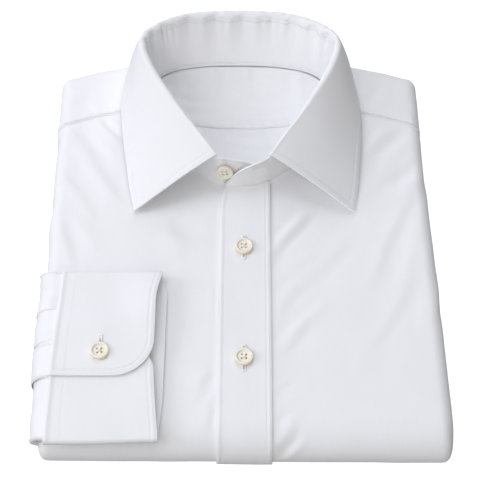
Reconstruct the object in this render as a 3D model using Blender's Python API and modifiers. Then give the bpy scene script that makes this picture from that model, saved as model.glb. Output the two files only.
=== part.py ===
"""Folded dress shirt that lies face up on a flat surface.

Metres, +Z up. The origin is on the surface, under the middle of the shirt's length and width.
+Y points from the hem fold to the collar, and +X to the wearer's left.
Lengths in this file are in millimetres. `point` turns them into metres.

The body is thought of as a flat sheet that rolls over the edges of the folded stack. A place on
the sheet is (x, y); where it lies past an edge, the extra length follows the roll. `drape` gives
its point in space, and every piece that lies on the body is made from those points.
"""
from collections import namedtuple
from math import atan2, cos, exp, hypot, pi, radians, sin

import bmesh
import bpy
from mathutils import Vector

NAME = "folded_dress_shirt"
MM = 0.001

# Cloth
PLY = 1.2              # a panel of poplin
FUSED = 1.5            # collar and cuff, with their interlining
GAP = 0.3              # clearance between two pieces
BELOW = 1.0            # extra clearance over the hidden layers, for the coarser mesh there

# Folded body
TOP = 22.0             # height of the front above the surface
HEM_Y = -164.6         # outermost y of the fold at the hem end
ROLL_SIDE = 8.5        # radii of the rolled edges
ROLL_HEM = 9.6
ROLL_SHOULDER = 10.0
TURN_SIDE = radians(150)     # how far round each roll the cloth goes
TURN_HEM = radians(150)
SIDE_LAYERS_BACK = 0.7       # the layers below stand back from the rolled front
HEM_LAYERS_BACK = 5.4
NECK_RISE = 2.5        # the fronts rise this much to the collar
CHEST_SEAM = 11.0      # the two fronts meet here, under the placket

# Placket
PLACKET_RIGHT = 19.9
PLACKET_GAP = 0.4
PLACKET_TURN = radians(140)  # how far it goes round the hem fold

# Collar
NECK = (0.9, 88.0)     # middle of the neck opening
FOLD_RADIUS = 1.7      # of the roll where the leaf turns over
SEAM_TUCK = 1.6        # the stand reaches this far below its seam
LEAF_BULGE = 2.6       # the leaf is this much fuller than a flat strip
BOWL_FLOOR = 8.6       # height of the inside of the back, seen through the neck

# Cuff of the wearer's right sleeve, flattened on the front
CUFF_SEAM = -111.5     # x of its seam to the sleeve
CUFF_MOUTH = -50.8     # x of its mouth, upper layer
CUFF_UNDER_MOUTH = -46.8
CUFF_TOP = -42.6       # y of its two folds
CUFF_BOTTOM = -160.8
FLAP_END = -118.8      # y where the buttoned end stops
UNDERLAP_END = -95.0   # y where the end below it stops
CUFF_CORNER = 20.0     # radius of the rounded corners
CUFF_LOW = 23.4        # heights of the middle of each layer
CUFF_MID = 27.2
CUFF_HIGH = 29.0

# Buttons: 18 ligne on the fronts, collar and cuff
BUTTON_RADIUS = 5.75
BUTTON_STEPS = 20
HOLE_RADIUS = 0.72
HOLE_REACH = 1.35      # from the middle of the button to a hole, along x and along y

# Outermost x of the folded body at each y
Side = namedtuple("Side", "y left right")
SIDES = (
    Side(-165, -119.0, 127.7),
    Side(-100, -121.5, 127.1),
    Side(-50, -123.4, 126.5),
    Side(10, -125.1, 125.2),
    Side(50, -126.0, 124.1),
    Side(105, -127.1, 124.4),
    Side(140, -127.7, 124.5),
)

# Where the shoulders start to roll to the back, at each distance from the middle
Shoulder = namedtuple("Shoulder", "x y")
SHOULDERS = (
    Shoulder(0, 135.0),
    Shoulder(40, 133.5),
    Shoulder(80, 129.4),
    Shoulder(104, 123.2),
    Shoulder(120, 117.6),
)

# Seam between front and yoke, from the neck to the rolled side
YokeSeam = namedtuple("YokeSeam", "x y")
YOKE_SEAM = (
    YokeSeam(62.8, 95.4),
    YokeSeam(72, 92.8),
    YokeSeam(83, 90.7),
    YokeSeam(97, 87.6),
    YokeSeam(110, 83.8),
    YokeSeam(119, 80.4),
    YokeSeam(140, 76.0),
)

# One half of the collar from its front end (row 0) to the middle of the back.
# seam: outside foot of the stand.  fold: crest where the leaf turns over.  edge: free edge of the
# leaf, whose first row is the collar point.  drop: from the crest to the seam of leaf and stand.
Collar = namedtuple("Collar", "seam_x seam_y seam_z fold_x fold_y fold_z edge_x edge_y edge_z drop")
COLLAR = (
    Collar(17.2, 28.9, 25.6, 17.9, 31.8, 51.4, 72.0, 4.1, 27.0, 1.9),
    Collar(34.0, 41.2, 24.6, 29.2, 48.6, 54.0, 75.2, 22.0, 27.3, 3.6),
    Collar(45.5, 55.0, 24.4, 39.7, 63.4, 56.0, 77.3, 39.0, 27.5, 4.4),
    Collar(55.0, 72.0, 24.3, 49.3, 79.0, 57.8, 80.0, 61.5, 27.5, 4.6),
    Collar(61.6, 91.0, 24.2, 59.8, 98.0, 59.2, 82.2, 85.0, 26.5, 4.6),
    Collar(64.4, 107.0, 23.8, 65.8, 114.2, 59.7, 81.6, 103.0, 25.2, 4.6),
    Collar(63.9, 116.5, 22.9, 67.2, 124.0, 59.0, 80.2, 117.5, 24.0, 4.6),
    Collar(60.6, 124.2, 21.4, 65.2, 132.4, 57.9, 77.2, 133.2, 22.5, 4.6),
    Collar(54.5, 131.2, 20.4, 58.6, 140.6, 56.4, 69.6, 147.0, 19.5, 4.6),
    Collar(45.0, 136.5, 19.5, 48.0, 148.4, 55.2, 56.6, 157.2, 16.5, 4.6),
    Collar(31.5, 140.2, 18.9, 33.8, 154.4, 53.9, 39.0, 162.6, 14.2, 4.6),
    Collar(16.5, 141.9, 18.7, 17.8, 156.8, 53.2, 20.0, 164.7, 13.2, 4.6),
    Collar(0.0, 142.3, 18.6, 0.0, 157.5, 52.9, 0.0, 165.3, 13.0, 4.6),
)

# The stand goes on past the leaf: its buttoned end lies over, the other end behind it.
StandEnd = namedtuple("StandEnd", "foot_x foot_y foot_z top_x top_y top_z")
OVER_END = (
    StandEnd(-9.4, 25.4, 26.2, -9.5, 25.2, 29.6),
    StandEnd(-6.8, 25.2, 26.1, -6.7, 24.4, 35.4),
    StandEnd(-2.8, 25.3, 26.0, -2.5, 24.3, 41.8),
    StandEnd(2.6, 25.7, 26.0, 3.0, 24.8, 46.4),
    StandEnd(9.0, 26.6, 25.9, 9.4, 26.5, 48.8),
)
UNDER_END = (
    StandEnd(-8.6, 29.3, 25.8, -8.6, 30.6, 49.6),
    StandEnd(0.0, 29.0, 25.9, 0.0, 29.4, 48.6),
    StandEnd(7.0, 29.6, 25.9, 7.0, 30.0, 45.0),
    StandEnd(10.0, 30.4, 25.9, 9.4, 30.8, 38.0),
)

# Free left edge of the placket at each y, and its top edge at each x
Edge = namedtuple("Edge", "y x")
PLACKET_EDGE = (Edge(-170, -13.2), Edge(-84, -13.4), Edge(11, -13.2), Edge(21, -11.4), Edge(25, -9.8))
PLACKET_TOP = (Edge(24.1, -14), Edge(24.3, 8), Edge(27.2, 17), Edge(28.8, 19.9))

# Broad soft folds of the fronts, each a ridge (+) or trough (-) between two places
Fold = namedtuple("Fold", "x0 y0 x1 y1 width height")
FOLDS = (
    Fold(112, 40, 38, -22, 11, 0.9),
    Fold(112, 18, 44, -58, 9, -0.8),
    Fold(70, 4, 22, -70, 10, 0.7),
    Fold(84, -70, 24, -112, 9, -0.7),
    Fold(92, -96, 26, -142, 9, 0.7),
    Fold(-94, 40, -30, -18, 11, 0.8),
    Fold(-62, 2, -26, -58, 9, -0.7),
)

# Sleeve from the cuff round the side of the body. across: on the sheet, from the cuff outward.
# upper, lower: y of its two folded edges.  thick: from the body to its outside.
Sleeve = namedtuple("Sleeve", "across upper lower thick")
SLEEVE = (
    Sleeve(0.0, -43.6, -157.8, 5.6),
    Sleeve(5.0, -42.6, -159.0, 5.2),
    Sleeve(10.0, -40.6, -157.4, 4.6),
    Sleeve(16.0, -38.8, -153.0, 4.2),
    Sleeve(24.0, -38.2, -150.6, 3.6),
    Sleeve(30.0, -38.2, -150.0, 3.4),
)
PLEATS = (-70.5, -93.2)      # y of the two pleats let into the cuff
PLEAT_STEP = 1.1
HIDDEN_TUCK = (-170.0, -34.0)         # between these y the layers below leave room for the sleeve
HIDDEN_TUCK_END = (-35.0, -31.0)
GAUNTLET = (-95.0, -117.8)   # y of the strip along the sleeve's slit

WHITE = (0.86, 0.87, 0.90, 1.0)
PEARL = (0.83, 0.78, 0.66, 1.0)


# ---------------------------------------------------------------- numbers

def point(x, y, z):
    """A point in metres."""
    return Vector((x, y, z)) * MM


def mix(a, b, t):
    """From a to b."""
    return a + (b - a) * t


def clamp(value, low, high):
    """Value kept between two limits."""
    return max(low, min(high, value))


def smooth(low, high, value):
    """0 below low, 1 above high, with soft ends."""
    t = clamp((value - low) / (high - low), 0.0, 1.0)
    return t * t * (3 - 2 * t)


def spline(values, u):
    """Smooth curve through values that stand one apart, read at u."""
    i = int(clamp(u, 0, len(values) - 1.000001))
    t = u - i
    p1, p2 = values[i], values[i + 1]
    p0 = values[i - 1] if i > 0 else 2 * p1 - p2
    p3 = values[i + 2] if i + 2 < len(values) else 2 * p2 - p1
    slope_1, slope_2 = (p2 - p0) / 2, (p3 - p1) / 2
    return (p1 * (2 * t ** 3 - 3 * t ** 2 + 1) + slope_1 * (t ** 3 - 2 * t ** 2 + t)
            + p2 * (3 * t ** 2 - 2 * t ** 3) + slope_2 * (t ** 3 - t ** 2))


def read(table, key, column, at):
    """One column of a table where its key column has the value `at`, straight between rows."""
    for low, high in zip(table, table[1:]):
        if at <= getattr(high, key) or high is table[-1]:
            span = getattr(high, key) - getattr(low, key)
            t = (at - getattr(low, key)) / span
            return mix(getattr(low, column), getattr(high, column), t)


def steps(low, high, count):
    """count + 1 values from low to high."""
    return [mix(low, high, i / count) for i in range(count + 1)]


# ---------------------------------------------------------------- collar curves

def all_round(half):
    """The rows of both halves, from the wearer's left front end to the right one."""
    mirrored = [row._replace(seam_x=-row.seam_x, fold_x=-row.fold_x, edge_x=-row.edge_x)
                for row in reversed(half[:-1])]
    return list(half) + mirrored


COLLAR_ROUND = all_round(COLLAR)
LAST = len(COLLAR_ROUND) - 1
BACK = LAST // 2


def collar_row(u):
    """The collar's row at u: 0 and LAST at the front ends, BACK at the middle of the back."""
    return Collar(*(spline(column, u) for column in zip(*COLLAR_ROUND)))


def collar_point(x, y, z):
    """A point of the collar, which sits a little to one side, more so at the front."""
    return Vector((x + 1.9 - 0.03 * (y - 30), y, z))


def seam_point(u):
    """Outside foot of the stand."""
    row = collar_row(u)
    return collar_point(row.seam_x, row.seam_y, row.seam_z)


def seam_normal(u):
    """Level direction away from the neck at the stand's foot."""
    along = seam_point(min(u + 0.1, LAST)) - seam_point(max(u - 0.1, 0))
    return Vector((along.y, -along.x, 0)).normalized()


NECK_FRONT = Vector((1.9, 25.4, 26.0))     # foot of the stand at the middle of the front


def neck_outline():
    """Angle and reach of the stand's foot as seen from the middle of the neck."""
    outline = []
    for place in [seam_point(u) for u in steps(0, LAST, 96)] + [NECK_FRONT]:
        dx, dy = place.x - NECK[0], place.y - NECK[1]
        outline.append((atan2(dy, dx) % (2 * pi), hypot(dx, dy)))
    return sorted(outline)


NECK_OUTLINE = neck_outline()


def neck_reach(angle):
    """Distance from the middle of the neck to the foot of the stand."""
    angle %= 2 * pi
    outline = NECK_OUTLINE
    around = [(outline[-1][0] - 2 * pi, outline[-1][1])] + outline
    around.append((outline[0][0] + 2 * pi, outline[0][1]))
    for (a0, r0), (a1, r1) in zip(around, around[1:]):
        if a0 <= angle <= a1:
            return mix(r0, r1, (angle - a0) / max(a1 - a0, 1e-9))
    return outline[0][1]


def neck_polar(x, y):
    """Angle round the neck, and distance as a share of the reach to the stand."""
    angle = atan2(y - NECK[1], x - NECK[0])
    return angle, hypot(x - NECK[0], y - NECK[1]) / neck_reach(angle)


def neck_place(angle, reach):
    """Place at an angle round the neck, reach in millimetres."""
    return NECK[0] + reach * cos(angle), NECK[1] + reach * sin(angle)


Place = namedtuple("Place", "x y")


def neckline_places():
    """The neckline from one yoke seam to the other, in order of x."""
    rows = steps(0, 4.4, 22) + steps(LAST - 4.4, LAST, 22)
    return sorted([Place(*seam_point(u).xy) for u in rows] + [Place(*NECK_FRONT.xy)])


NECKLINE = neckline_places()


def front_top(x):
    """y where a front ends: the neckline near the middle, the yoke seam further out."""
    if abs(x - 0.5) < YOKE_SEAM[0].x:
        return min(read(NECKLINE, "x", "y", x), YOKE_SEAM[0].y)
    return read(YOKE_SEAM, "x", "y", abs(x - 0.5))


# ---------------------------------------------------------------- the draped sheet

def fold_height(x, y):
    """Sum of the broad folds at a place."""
    total = 0.0
    for fold in FOLDS:
        dx, dy = fold.x1 - fold.x0, fold.y1 - fold.y0
        length = hypot(dx, dy)
        along = ((x - fold.x0) * dx + (y - fold.y0) * dy) / length ** 2
        away = ((x - fold.x0) * dy - (y - fold.y0) * dx) / length
        fade = smooth(-0.15, 0.3, along) * (1 - smooth(0.7, 1.15, along))
        total += fold.height * fade * exp(-(away / fold.width) ** 2)
    return total


def sheet_height(x, y):
    """Height of the outside of the front, before it rolls over an edge."""
    _, share = neck_polar(x, y)
    rise = NECK_RISE * (1 - smooth(1.0, 1.75, share)) * (1 - smooth(98, 132, y))
    return TOP + rise + fold_height(x, y)


def side_start(side, y):
    """x where the sheet starts to roll over one side."""
    if side < 0:
        return read(SIDES, "y", "left", y) + ROLL_SIDE
    return read(SIDES, "y", "right", y) - ROLL_SIDE


def shoulder_start(x):
    """y where the sheet starts to roll over the shoulders."""
    return read(SHOULDERS, "x", "y", abs(x))


HEM_START = HEM_Y + ROLL_HEM


def roll_radius(dx, dy):
    """Radius of the rolled edge in an outward direction."""
    end = ROLL_HEM if dy < 0 else ROLL_SHOULDER
    return ROLL_SIDE * dx * dx + end * dy * dy


def roll_length(dx, dy):
    """Length of cloth that goes round the rolled edge in an outward direction."""
    turn = TURN_HEM if dy < 0 else TURN_SIDE
    return roll_radius(dx, dy) * (TURN_SIDE * dx * dx + turn * dy * dy)


def drape(x, y, lift=0.0):
    """Point and outward normal, in millimetres, of a place on the sheet, lifted off it."""
    base_y = clamp(y, HEM_START, shoulder_start(x))
    base_x = clamp(x, side_start(-1, base_y), side_start(1, base_y))
    base_y = clamp(y, HEM_START, shoulder_start(base_x))
    past = hypot(x - base_x, y - base_y)
    height = sheet_height(base_x, base_y)
    if past < 1e-6:
        h = 0.5
        slope_x = (sheet_height(x + h, y) - sheet_height(x - h, y)) / (2 * h)
        slope_y = (sheet_height(x, y + h) - sheet_height(x, y - h)) / (2 * h)
        normal = Vector((-slope_x, -slope_y, 1)).normalized()
        return Vector((x, y, height)) + normal * lift, normal
    dx, dy = (x - base_x) / past, (y - base_y) / past
    radius = roll_radius(dx, dy)
    turn = past / radius
    normal = Vector((dx * sin(turn), dy * sin(turn), cos(turn)))
    axis = Vector((base_x, base_y, height - radius))
    return axis + normal * (radius + lift), normal


# ---------------------------------------------------------------- making objects

def material(name, color, roughness):
    """A plain Principled material."""
    made = bpy.data.materials.new(name)
    made.use_nodes = True
    shader = made.node_tree.nodes["Principled BSDF"]
    shader.inputs["Base Color"].default_value = color
    shader.inputs["Roughness"].default_value = roughness
    shader.inputs["Metallic"].default_value = 0.0
    return made


def add_object(name, mesh, color=WHITE, roughness=0.85):
    """An object in the shirt's collection, with a material of its own."""
    made = bpy.data.objects.new(name, mesh)
    made.data.materials.append(material(name, color, roughness))
    bpy.data.collections[NAME].objects.link(made)
    return made


def surface(name, grid, around=False):
    """Mesh of a grid of points, rows of equal length. Its faces look to the left of a row's
    direction when the rows are read in order."""
    rows, columns = len(grid), len(grid[0])
    shape = bmesh.new()
    corners = [[shape.verts.new(place) for place in row] for row in grid]
    for i in range(rows if around else rows - 1):
        for j in range(columns - 1):
            here, beyond = corners[i], corners[(i + 1) % rows]
            shape.faces.new((here[j], here[j + 1], beyond[j + 1], beyond[j]))
    mesh = bpy.data.meshes.new(name)
    shape.to_mesh(mesh)
    shape.free()
    return mesh


def wall(name, grid, thickness, offset, around=False):
    """A cloth wall on a grid of points in millimetres. offset -1 puts the thickness behind the
    faces, 1 in front of them, 0 half on each side."""
    grid = [[place * MM for place in row] for row in grid]
    made = add_object(name, surface(name, grid, around))
    solidify = made.modifiers.new("Thickness", "SOLIDIFY")
    solidify.thickness = thickness * MM
    solidify.offset = offset
    solidify.use_quality_normals = True
    return made


# ---------------------------------------------------------------- body

COLUMNS = (0, 9, 17, 25.5, 34, 40, 45.5, 50.5, 55, 58.5, 61.3, 63.4, 72, 83, 94, 104)
BODY_ROWS = 14
ROLL_ROWS = 6


def corner_past(side, p, q):
    """How far past the side and hem a place lies, p and q as shares of the rolls, 0 to 1.
    The square corner of the panel is drawn in to a quarter circle."""
    share = max(p, q)
    if share == 0:
        return 0.0, 0.0
    angle = pi / 4 * q / p if p >= q else pi / 2 - pi / 4 * p / q
    dx, dy = side * cos(angle), -sin(angle)
    length = roll_length(dx, dy) * share
    return dx * length, dy * length


def front_columns(side, inner):
    """x of each column of a front, from its edge below the placket to the rolled side."""
    columns = [inner]
    columns += [side * x + 0.5 for x in COLUMNS if side * (side * x + 0.5 - inner) > 3]
    return columns + [side_start(side, 80.0)]


def front(name, side, inner):
    """One front: chest panel from neckline and yoke seam, round the side and the hem fold."""
    grid = []
    flat = front_columns(side, inner)
    for i in range(len(flat) + ROLL_ROWS):
        x = flat[min(i, len(flat) - 1)]
        p = max(0, i - len(flat) + 1) / ROLL_ROWS
        follow = smooth(64, 100, abs(x))
        top = front_top(x + side * p * roll_length(side, 0)) - 1.5 * (1 - smooth(12, 24, abs(x - 1.9)))
        row = []
        for j in range(BODY_ROWS + ROLL_ROWS + 1):
            y = mix(top, HEM_START, min(1, j / BODY_ROWS))
            q = max(0, j - BODY_ROWS) / ROLL_ROWS
            past_x, past_y = corner_past(side, p, q)
            sway = follow * (side_start(side, y) - side_start(side, 80.0))
            row.append(drape(x + sway + past_x, y + past_y)[0])
        grid.append(row)
    if side > 0:
        grid.reverse()
    return wall(name, [row[::-1] for row in grid], PLY, -1)


def placket():
    """Buttonhole placket: a strip on the wearer's left front that laps over the right."""
    grid = []
    past = ROLL_HEM * PLACKET_TURN
    for y in steps(30.0, HEM_START, 18)[:-1] + steps(HEM_START, HEM_START - past, 7):
        row = []
        for x in steps(read(PLACKET_EDGE, "y", "x", y), PLACKET_RIGHT, 5):
            top = read(PLACKET_TOP, "x", "y", x)
            row.append(drape(x, min(y, top - (30.0 - y) * 0.05), PLACKET_GAP)[0])
        grid.append(row)
    return wall("placket", grid[::-1], PLY, 1)


def rim(side_rows, corner_rows, end_rows):
    """Places and outward directions along the roll's start, round the shoulder end of the body:
    up the left side, along the shoulders and down the right side."""
    stations = []
    left_corner = (side_start(-1, 118.0), shoulder_start(118.0))
    right_corner = (side_start(1, 118.0), shoulder_start(116.0))
    for y in steps(YOKE_SEAM[-2].y, left_corner[1], side_rows)[:-1]:
        stations.append((side_start(-1, y), y, pi))
    for turn in steps(pi, pi / 2, corner_rows):
        stations.append((*left_corner, turn))
    for x in steps(left_corner[0], right_corner[0], end_rows)[1:-1]:
        stations.append((x, shoulder_start(x), pi / 2))
    for turn in steps(pi / 2, 0, corner_rows):
        stations.append((*right_corner, turn))
    for y in steps(right_corner[1], YOKE_SEAM[-2].y, side_rows)[1:]:
        stations.append((side_start(1, y), y, 0.0))
    return stations


def yoke_line(start, base, out):
    """Places on the sheet from the neck to the start of the roll and round it. Behind the neck
    the seam itself lies on the roll, so the line bends a little further on."""
    past = max(0.0, (start[0] - base[0]) * out[0] + (start[1] - base[1]) * out[1] + 3.0)
    length = roll_length(*out)
    line = [(mix(start[0], base[0] + out[0] * past, t), mix(start[1], base[1] + out[1] * past, t))
            for t in steps(0, 1, 5)[:-1]]
    return line + [(base[0] + out[0] * reach, base[1] + out[1] * reach)
                   for reach in steps(past, length, 6)]


def yoke():
    """Outer yoke: from the seams to the fronts, round the neck and over the shoulders."""
    grid = []
    stations = rim(3, 4, 14)
    for k, (x, y, turn) in enumerate(stations):
        angle = atan2(y - NECK[1], x - NECK[0]) % (2 * pi)
        if angle > 1.5 * pi:
            angle -= 2 * pi
        angle = pi / 2 + (angle - pi / 2) * 0.893
        start = neck_place(angle, neck_reach(angle) + 0.3 + smooth(0.3, 0.8, sin(angle)))
        row = []
        for place_x, place_y in yoke_line(start, (x, y), (cos(turn), sin(turn))):
            if k in (0, len(stations) - 1):
                place_y = read(YOKE_SEAM, "x", "y", abs(place_x - 0.5)) + GAP + 0.15
            row.append(drape(place_x, place_y)[0])
        grid.append(row[::-1])
    return wall("yoke", grid, PLY, -1)


def bowl_height(x, y):
    """Height of the inside seen through the neck: flat in the middle, up to the stand's foot."""
    angle, share = neck_polar(x, y)
    back = smooth(-0.2, 1.0, sin(angle))
    return mix(BOWL_FLOOR, mix(24.2, 17.8, back), share ** 3.4)


def under_neck(x, y):
    """Highest that the hidden layers may be below the bowl and the stand's foot."""
    angle, share = neck_polar(x, y)
    if share > 1.07:
        return TOP
    foot = mix(24.2, 17.8, smooth(-0.2, 1.0, sin(angle))) - SEAM_TUCK - 2.2
    return min(foot, bowl_height(x, y) - PLY - 2.4) if share < 1 else foot


def bowl(name, low, high, sink, pointing):
    """A half of the inside: a wall from the inner yoke seam out to the stand."""
    grid = []
    inset = FUSED + 0.9 + GAP + 1.4
    for angle in steps(radians(low), radians(high), 20):
        reach = neck_reach(angle) - inset
        end_x, end_y = neck_place(angle, reach)
        start_x = mix(NECK[0], end_x, 0.97)
        row = []
        for t in steps(0, 1, 6):
            x, y = mix(start_x, end_x, t), mix(NECK[1] + pointing * GAP, end_y, t)
            row.append(Vector((x, y, bowl_height(x, y) - sink)))
        grid.append(row)
    return wall(name, grid, PLY, -1)


# ---------------------------------------------------------------- hidden layers

def outline():
    """Roll start and outward direction all round the body."""
    left, right = side_start(-1, HEM_START), side_start(1, HEM_START)
    stations = [(left, HEM_START, turn) for turn in steps(1.5 * pi, pi, 4)]
    for y in (HEM_START + 1.5, -125, -95, -65, *HIDDEN_TUCK_END, -5, 25, 55):
        stations.append((side_start(-1, y), y, pi))
    stations += rim(3, 4, 14)
    for y in steps(55, HEM_START, 8)[:-1]:
        stations.append((side_start(1, y), y, 0.0))
    stations += [(right, HEM_START, turn) for turn in steps(0, -pi / 2, 4)]
    stations += [(x, HEM_START, -pi / 2) for x in steps(right, left, 9)[1:-1]]
    return stations


def edge_section(radius, back, tucked):
    """Section of the hidden layers' edge: reach out from the roll's start and height. It fills
    the rolled cloth, comes out below its end and shows two more folded layers down to 0.
    back: how far the two layers stand back from the roll.
    tucked: the layers below stay back, and the sleeve takes their place."""
    inner = radius - PLY - GAP - 0.5
    axis = TOP - radius
    section = []
    for a in (0, 30, 60, 90, 118, 140):
        height = axis + inner * cos(radians(a)) - BELOW * max(0, cos(radians(a)))
        section.append((inner * sin(radians(a)), height))
    ceiling = axis - radius - GAP
    half = ceiling / 2
    nose = radius - back
    layers = [(inner * 0.1, ceiling), (nose - 1.8, ceiling), (nose, ceiling * 0.85),
              (nose, ceiling * 0.62), (nose - 2.6, half), (nose - 0.8, ceiling * 0.38),
              (nose - 0.8, ceiling * 0.15), (nose - 1.6, 0)]
    if tucked:
        layers = [(mix(-9.0, -10.0, k / 7), height) for k, (_, height) in enumerate(layers)]
        section[4:] = [(-3.0, section[4][1] + 1.5), (-8.5, section[4][1] + 0.5)]
    return section + layers


def hidden_rings():
    """Rings from the floor of the neck's hollow, over the top and round the edges to 0."""
    stations = outline()
    reaches = []
    for x, y, _turn in stations:
        angle = atan2(y - NECK[1], x - NECK[0])
        rim_reach = hypot(x - NECK[0], y - NECK[1])
        reaches.append((angle, min(neck_reach(angle) + 1.2, rim_reach - 4), rim_reach))
    for share in (0.45, 0.68, 0.84, 0.94):
        ring = []
        for angle, start, _ in reaches:
            x, y = neck_place(angle, (start - 1.2) * share)
            ring.append(Vector((x, y, BOWL_FLOOR - PLY - 2.4 if share < 0.5 else under_neck(x, y))))
        yield ring
    for t in (0.0, 0.15, 0.4, 0.7, 0.92):
        ring = []
        for angle, start, rim_reach in reaches:
            x, y = neck_place(angle, mix(start, rim_reach, t))
            height = sheet_height(x, y) - PLY - GAP - BELOW
            ring.append(Vector((x, y, min(height, under_neck(x, y)))))
        yield ring
    for k in range(len(edge_section(ROLL_SIDE, 0, False))):
        ring = []
        for x, y, turn in stations:
            dx, dy = cos(turn), sin(turn)
            tucked = x < 0 and dx < -0.9 and HIDDEN_TUCK[0] < y < HIDDEN_TUCK[1]
            back = mix(SIDE_LAYERS_BACK, HEM_LAYERS_BACK, max(0, -dy))
            reach, height = edge_section(roll_radius(dx, dy), back, tucked)[k]
            place_x, place_y = x + dx * reach, y + dy * reach
            ring.append(Vector((place_x, place_y, min(height, under_neck(place_x, place_y)))))
        yield ring


def hidden_layers():
    """Everything folded up inside and below: one rounded solid with a flat underside."""
    return closed_rings("hidden_layers", list(hidden_rings()))


def closed_rings(name, rings):
    """A closed solid through rings of points, its first and last ring filled."""
    shape = bmesh.new()
    corners = [[shape.verts.new(place * MM) for place in ring] for ring in rings]
    count = len(rings[0])
    for here, beyond in zip(corners, corners[1:]):
        for i in range(count):
            j = (i + 1) % count
            shape.faces.new((here[i], here[j], beyond[j], beyond[i]))
    shape.faces.new(corners[0][::-1])
    shape.faces.new(corners[-1])
    bmesh.ops.recalc_face_normals(shape, faces=shape.faces)
    mesh = bpy.data.meshes.new(name)
    shape.to_mesh(mesh)
    shape.free()
    return add_object(name, mesh)


# ---------------------------------------------------------------- collar

def stand_line(u):
    """Foot and top of the stand's middle line, and its direction up."""
    row = collar_row(u)
    foot = seam_point(u) - seam_normal(u) * (FUSED / 2 + GAP + 0.6)
    crest = collar_point(row.fold_x, row.fold_y, row.fold_z)
    inner = crest - outward(row) * FOLD_RADIUS - Vector((0, 0, FOLD_RADIUS))
    up = (inner - foot).normalized()
    return foot - up * SEAM_TUCK, inner - up * (row.drop - FOLD_RADIUS), up


def outward(row):
    """Level direction from the collar's crest to its free edge."""
    crest = collar_point(row.fold_x, row.fold_y, 0)
    return (collar_point(row.edge_x, row.edge_y, 0) - crest).normalized()


def end_line(end):
    """Foot and top of one row of the stand's ends."""
    foot = Vector((end.foot_x, end.foot_y, end.foot_z - SEAM_TUCK * 0.75))
    return foot, Vector((end.top_x, end.top_y, end.top_z))


def stand():
    """Collar stand: a band round the neck whose ends lap at the front."""
    lines = [end_line(end) for end in OVER_END]
    lines += [stand_line(u)[:2] for u in steps(0, LAST, 30)]
    lines += [end_line(end) for end in UNDER_END]
    grid = [[foot.lerp(top, t) for t in steps(0, 1, 3)] for foot, top in lines]
    return wall("collar_stand", grid, FUSED, 0)


def leaf_section(u):
    """Middle line of the leaf: up from the stand, over the crest and down to its free edge."""
    row = collar_row(u)
    _, top, lean = stand_line(u)
    crest = collar_point(row.fold_x, row.fold_y, row.fold_z)
    edge = collar_point(row.edge_x, row.edge_y, row.edge_z)
    out, up = outward(row), Vector((0, 0, 1))
    axis = crest - up * FOLD_RADIUS
    section = [top + lean * (GAP + 0.45), axis - out * FOLD_RADIUS]
    section += [axis + (out * cos(a) + up * sin(a)) * FOLD_RADIUS
                for a in (radians(135), radians(90), radians(50))]
    start = section[-1]
    across = (edge - start).normalized()
    full = (up - across * across.z).normalized()
    bend = start.lerp(edge, 0.42) + full * LEAF_BULGE
    for t in steps(0, 1, 6)[1:]:
        section.append(start * (1 - t) ** 2 + bend * 2 * t * (1 - t) + edge * t ** 2)
    return section


def leaf():
    """Collar leaf with its two points."""
    grid = [leaf_section(u) for u in steps(0, LAST, 30)]
    return wall("collar_leaf", grid, FUSED, 0)


# ---------------------------------------------------------------- sleeve and cuff

def cuff_fold(outermost, start, end):
    """Half a turn of the cuff whose outside reaches the y given, from angle start to end."""
    radius = (CUFF_MID - CUFF_LOW) / 2
    inward = 1 if start == 90 else -1
    middle = outermost + inward * (FUSED / 2 + radius)
    fold = []
    for a in steps(start, end, 6):
        height = CUFF_LOW + radius + radius * sin(radians(a))
        share = (CUFF_MID - height) / (CUFF_MID - CUFF_LOW)
        fold.append((middle + radius * cos(radians(a)), height,
                     mix(CUFF_MOUTH, CUFF_UNDER_MOUTH, share)))
    return fold


def cuff_path():
    """Way along the cuff round the flattened wrist: y, height and x of the mouth."""
    path = [(UNDERLAP_END - CUFF_CORNER * (1 - cos(radians(a))), CUFF_MID,
             CUFF_MOUTH - CUFF_CORNER * (1 - sin(radians(a)))) for a in steps(0, 90, 6)]
    path += [(y, CUFF_MID, CUFF_MOUTH) for y in (-125.0, -140.0)]
    low_radius = (CUFF_MID - CUFF_LOW) / 2
    path += cuff_fold(CUFF_BOTTOM, 90, 270)
    path += [(y, CUFF_LOW, CUFF_UNDER_MOUTH) for y in steps(-140, -65, 5)]
    path += cuff_fold(CUFF_TOP, -90, 90)
    path += [(y, mix(CUFF_MID, CUFF_HIGH, smooth(-58, -84, y)), CUFF_MOUTH)
             for y in (-58.0, -66.0, -75.0, -84.0, -92.0)]
    path += [(FLAP_END + CUFF_CORNER * (1 - sin(radians(a))), CUFF_HIGH,
              CUFF_MOUTH - CUFF_CORNER * (1 - cos(radians(a)))) for a in steps(0, 90, 7)]
    return path


def cuff():
    """Barrel cuff, buttoned and pressed flat: one interlined band whose ends lap."""
    grid = []
    for y, height, mouth in cuff_path():
        grid.append([Vector((x, y, height)) for x in steps(CUFF_SEAM, mouth, 6)])
    return wall("cuff", grid, FUSED, 0)


def pleat_height(y):
    """Each pleat lifts the cloth up to its edge and lets it drop below it."""
    height = 0.0
    upper = -44.0
    for edge in PLEATS:
        if edge <= y <= upper:
            height = PLEAT_STEP * (upper - y) / (upper - edge)
        upper = edge - 0.5
    return height


def sleeve_row(across):
    """The sleeve's row at a distance from the cuff."""
    return Sleeve(across, *(read(SLEEVE, "across", name, across) for name in Sleeve._fields[1:]))


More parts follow.
